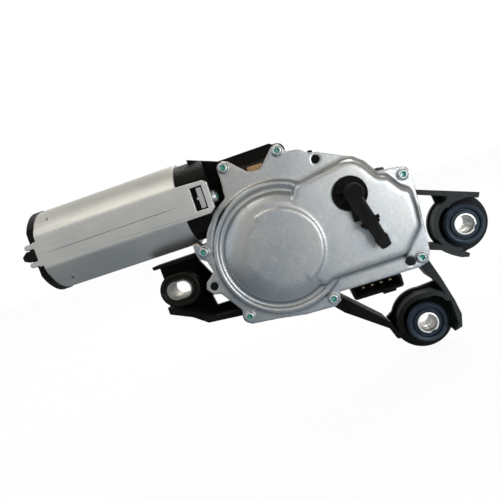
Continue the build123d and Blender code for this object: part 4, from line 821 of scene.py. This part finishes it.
def stage_material():
    """White where the camera looks at it or through glass, a blue-grey that lightens to the right
    where a polished surface mirrors it, and pale where light falls.
    """
    f = Finish("pale_floor")
    f.coat(Base_Color=f.mix(f.noise(60, 2).fade(0.3, 0.7), (0.80, 0.80, 0.80),
                            (0.84, 0.84, 0.84)), Roughness=0.9)
    camera_ray, glossy_ray, passing_ray = f.seen()
    looked_at = camera_ray.larger(passing_ray).larger(glossy_ray)
    x, depth, z = f.along()
    table = f.mix(x.fade(-180.0, 60.0), (0.15, 0.18, 0.21), (0.52, 0.60, 0.66))
    shade = f.mix(glossy_ray, (1.0, 1.0, 1.0), table)
    glow = f.node("ShaderNodeEmission", None, shade, 1.0)
    shown = f.tree.nodes.new("ShaderNodeMixShader")
    f.feed(shown.inputs[0], looked_at * 0.94)
    f.tree.links.new(f.shader.outputs[0], shown.inputs[1])
    f.tree.links.new(glow.socket, shown.inputs[2])
    f.tree.links.new(shown.outputs[0], f.tree.nodes["Material Output"].inputs["Surface"])
    return f.material


FLOOR_SIZE = 6.0
FLOOR_GAP = 0.2 * MM
floor_level = cad_box[0].z - FLOOR_GAP
bpy.ops.mesh.primitive_plane_add(size=FLOOR_SIZE, location=(0, 0, floor_level))
floor = bpy.context.object
floor.name = "floor"
floor.data.materials.append(stage_material())

# The tent around the object: white to look at, and dimmer towards the camera's side and below
# where it lights and is mirrored
world = bpy.data.worlds.new("studio")
bpy.context.scene.world = world
world.use_nodes = True
tent = Graph(world.node_tree)
way = tent.node("ShaderNodeTexCoord", None, out="Generated")
right, behind, above = (tent.part(way, number) for number in range(3))
camera_ray, glossy_ray, passing_ray = tent.seen()
opening = tent.node("ShaderNodeVectorMath", {"operation": "DOT_PRODUCT"}, way,
                    (-0.10, -0.93, -0.34), out="Value").fade(0.885, 0.985)
mirrored = (above.fade(-0.25, 0.30, 0.40, 0.62) + behind.fade(-0.5, 0.6, 0.0, 0.20)
            + right.fade(-0.55, -0.20, 0.42, 0.0) + right.fade(0.0, 0.28, 0.0, 0.30)
            + right.fade(0.40, 0.70, 0.0, -0.46))
mirrored = mirrored * above.fade(0.30, 0.95, 1.0, 0.55)
mirrored = (mirrored * (1 - opening * 0.90)).larger(0.06)
lit = behind.fade(-1.0, 0.6, 0.38, 0.65) + above * 0.40 + right * 0.08
glow = mirrored * glossy_ray + lit * (1 - glossy_ray)
white = camera_ray.larger(passing_ray)
strength = glow * (1 - white) + white
shade = tent.mix(above.fade(-0.30, 0.12), (0.74, 0.89, 1.0), (1.0, 0.97, 0.90))
shade = tent.mix(right.fade(-0.35, -0.9), shade, (0.80, 0.92, 1.0))
shade = tent.mix(white, shade, (1.0, 1.0, 1.0))
background = world.node_tree.nodes["Background"]
tent.feed(background.inputs["Color"], shade)
tent.feed(background.inputs["Strength"], strength)


LIT_MIDDLE = Vector((-0.03, -0.04, 0.0))


def lamp(name, at, size, power, tint=(1, 1, 1)):
    """A soft lamp that looks at the object's middle."""
    light = bpy.data.lights.new(name, "AREA")
    light.shape = "RECTANGLE"
    light.size, light.size_y = size
    light.energy = power
    light.color = tint
    made = bpy.data.objects.new(name, light)
    bpy.context.scene.collection.objects.link(made)
    made.location = at
    made.rotation_euler = (LIT_MIDDLE - Vector(at)).to_track_quat("-Z", "Y").to_euler()


lamp("key", (-0.30, -0.50, 0.80), (0.50, 0.40), 1.3, (1.0, 0.96, 0.88))
lamp("side", (0.30, -0.60, 0.02), (0.42, 0.18), 1.5, (0.95, 0.98, 1.0))
lamp("back", (0.1, 0.7, 0.6), (0.6, 0.4), 4.0)

# The camera of the picture, its turn given by its right, up and back directions
LENS = 37.44
CAMERA_AT = Vector((-0.024926, -0.335886, 0.007035))
RIGHT = Vector((0.94374, 0.09143, -0.31778))
UP = Vector((0.30846, 0.10286, 0.94566))
BACK = Vector((0.11915, -0.99049, 0.06887))
camera_data = bpy.data.cameras.new("picture_camera")
camera_data.lens = LENS
camera_data.sensor_width = 36.0
camera_data.clip_start = 0.01
camera = bpy.data.objects.new("picture_camera", camera_data)
bpy.context.scene.collection.objects.link(camera)
turn = Matrix((RIGHT, UP, BACK)).transposed().to_4x4()
camera.matrix_world = Matrix.Translation(CAMERA_AT) @ turn
bpy.context.scene.camera = camera
bpy.context.scene.view_settings.view_transform = "Standard"
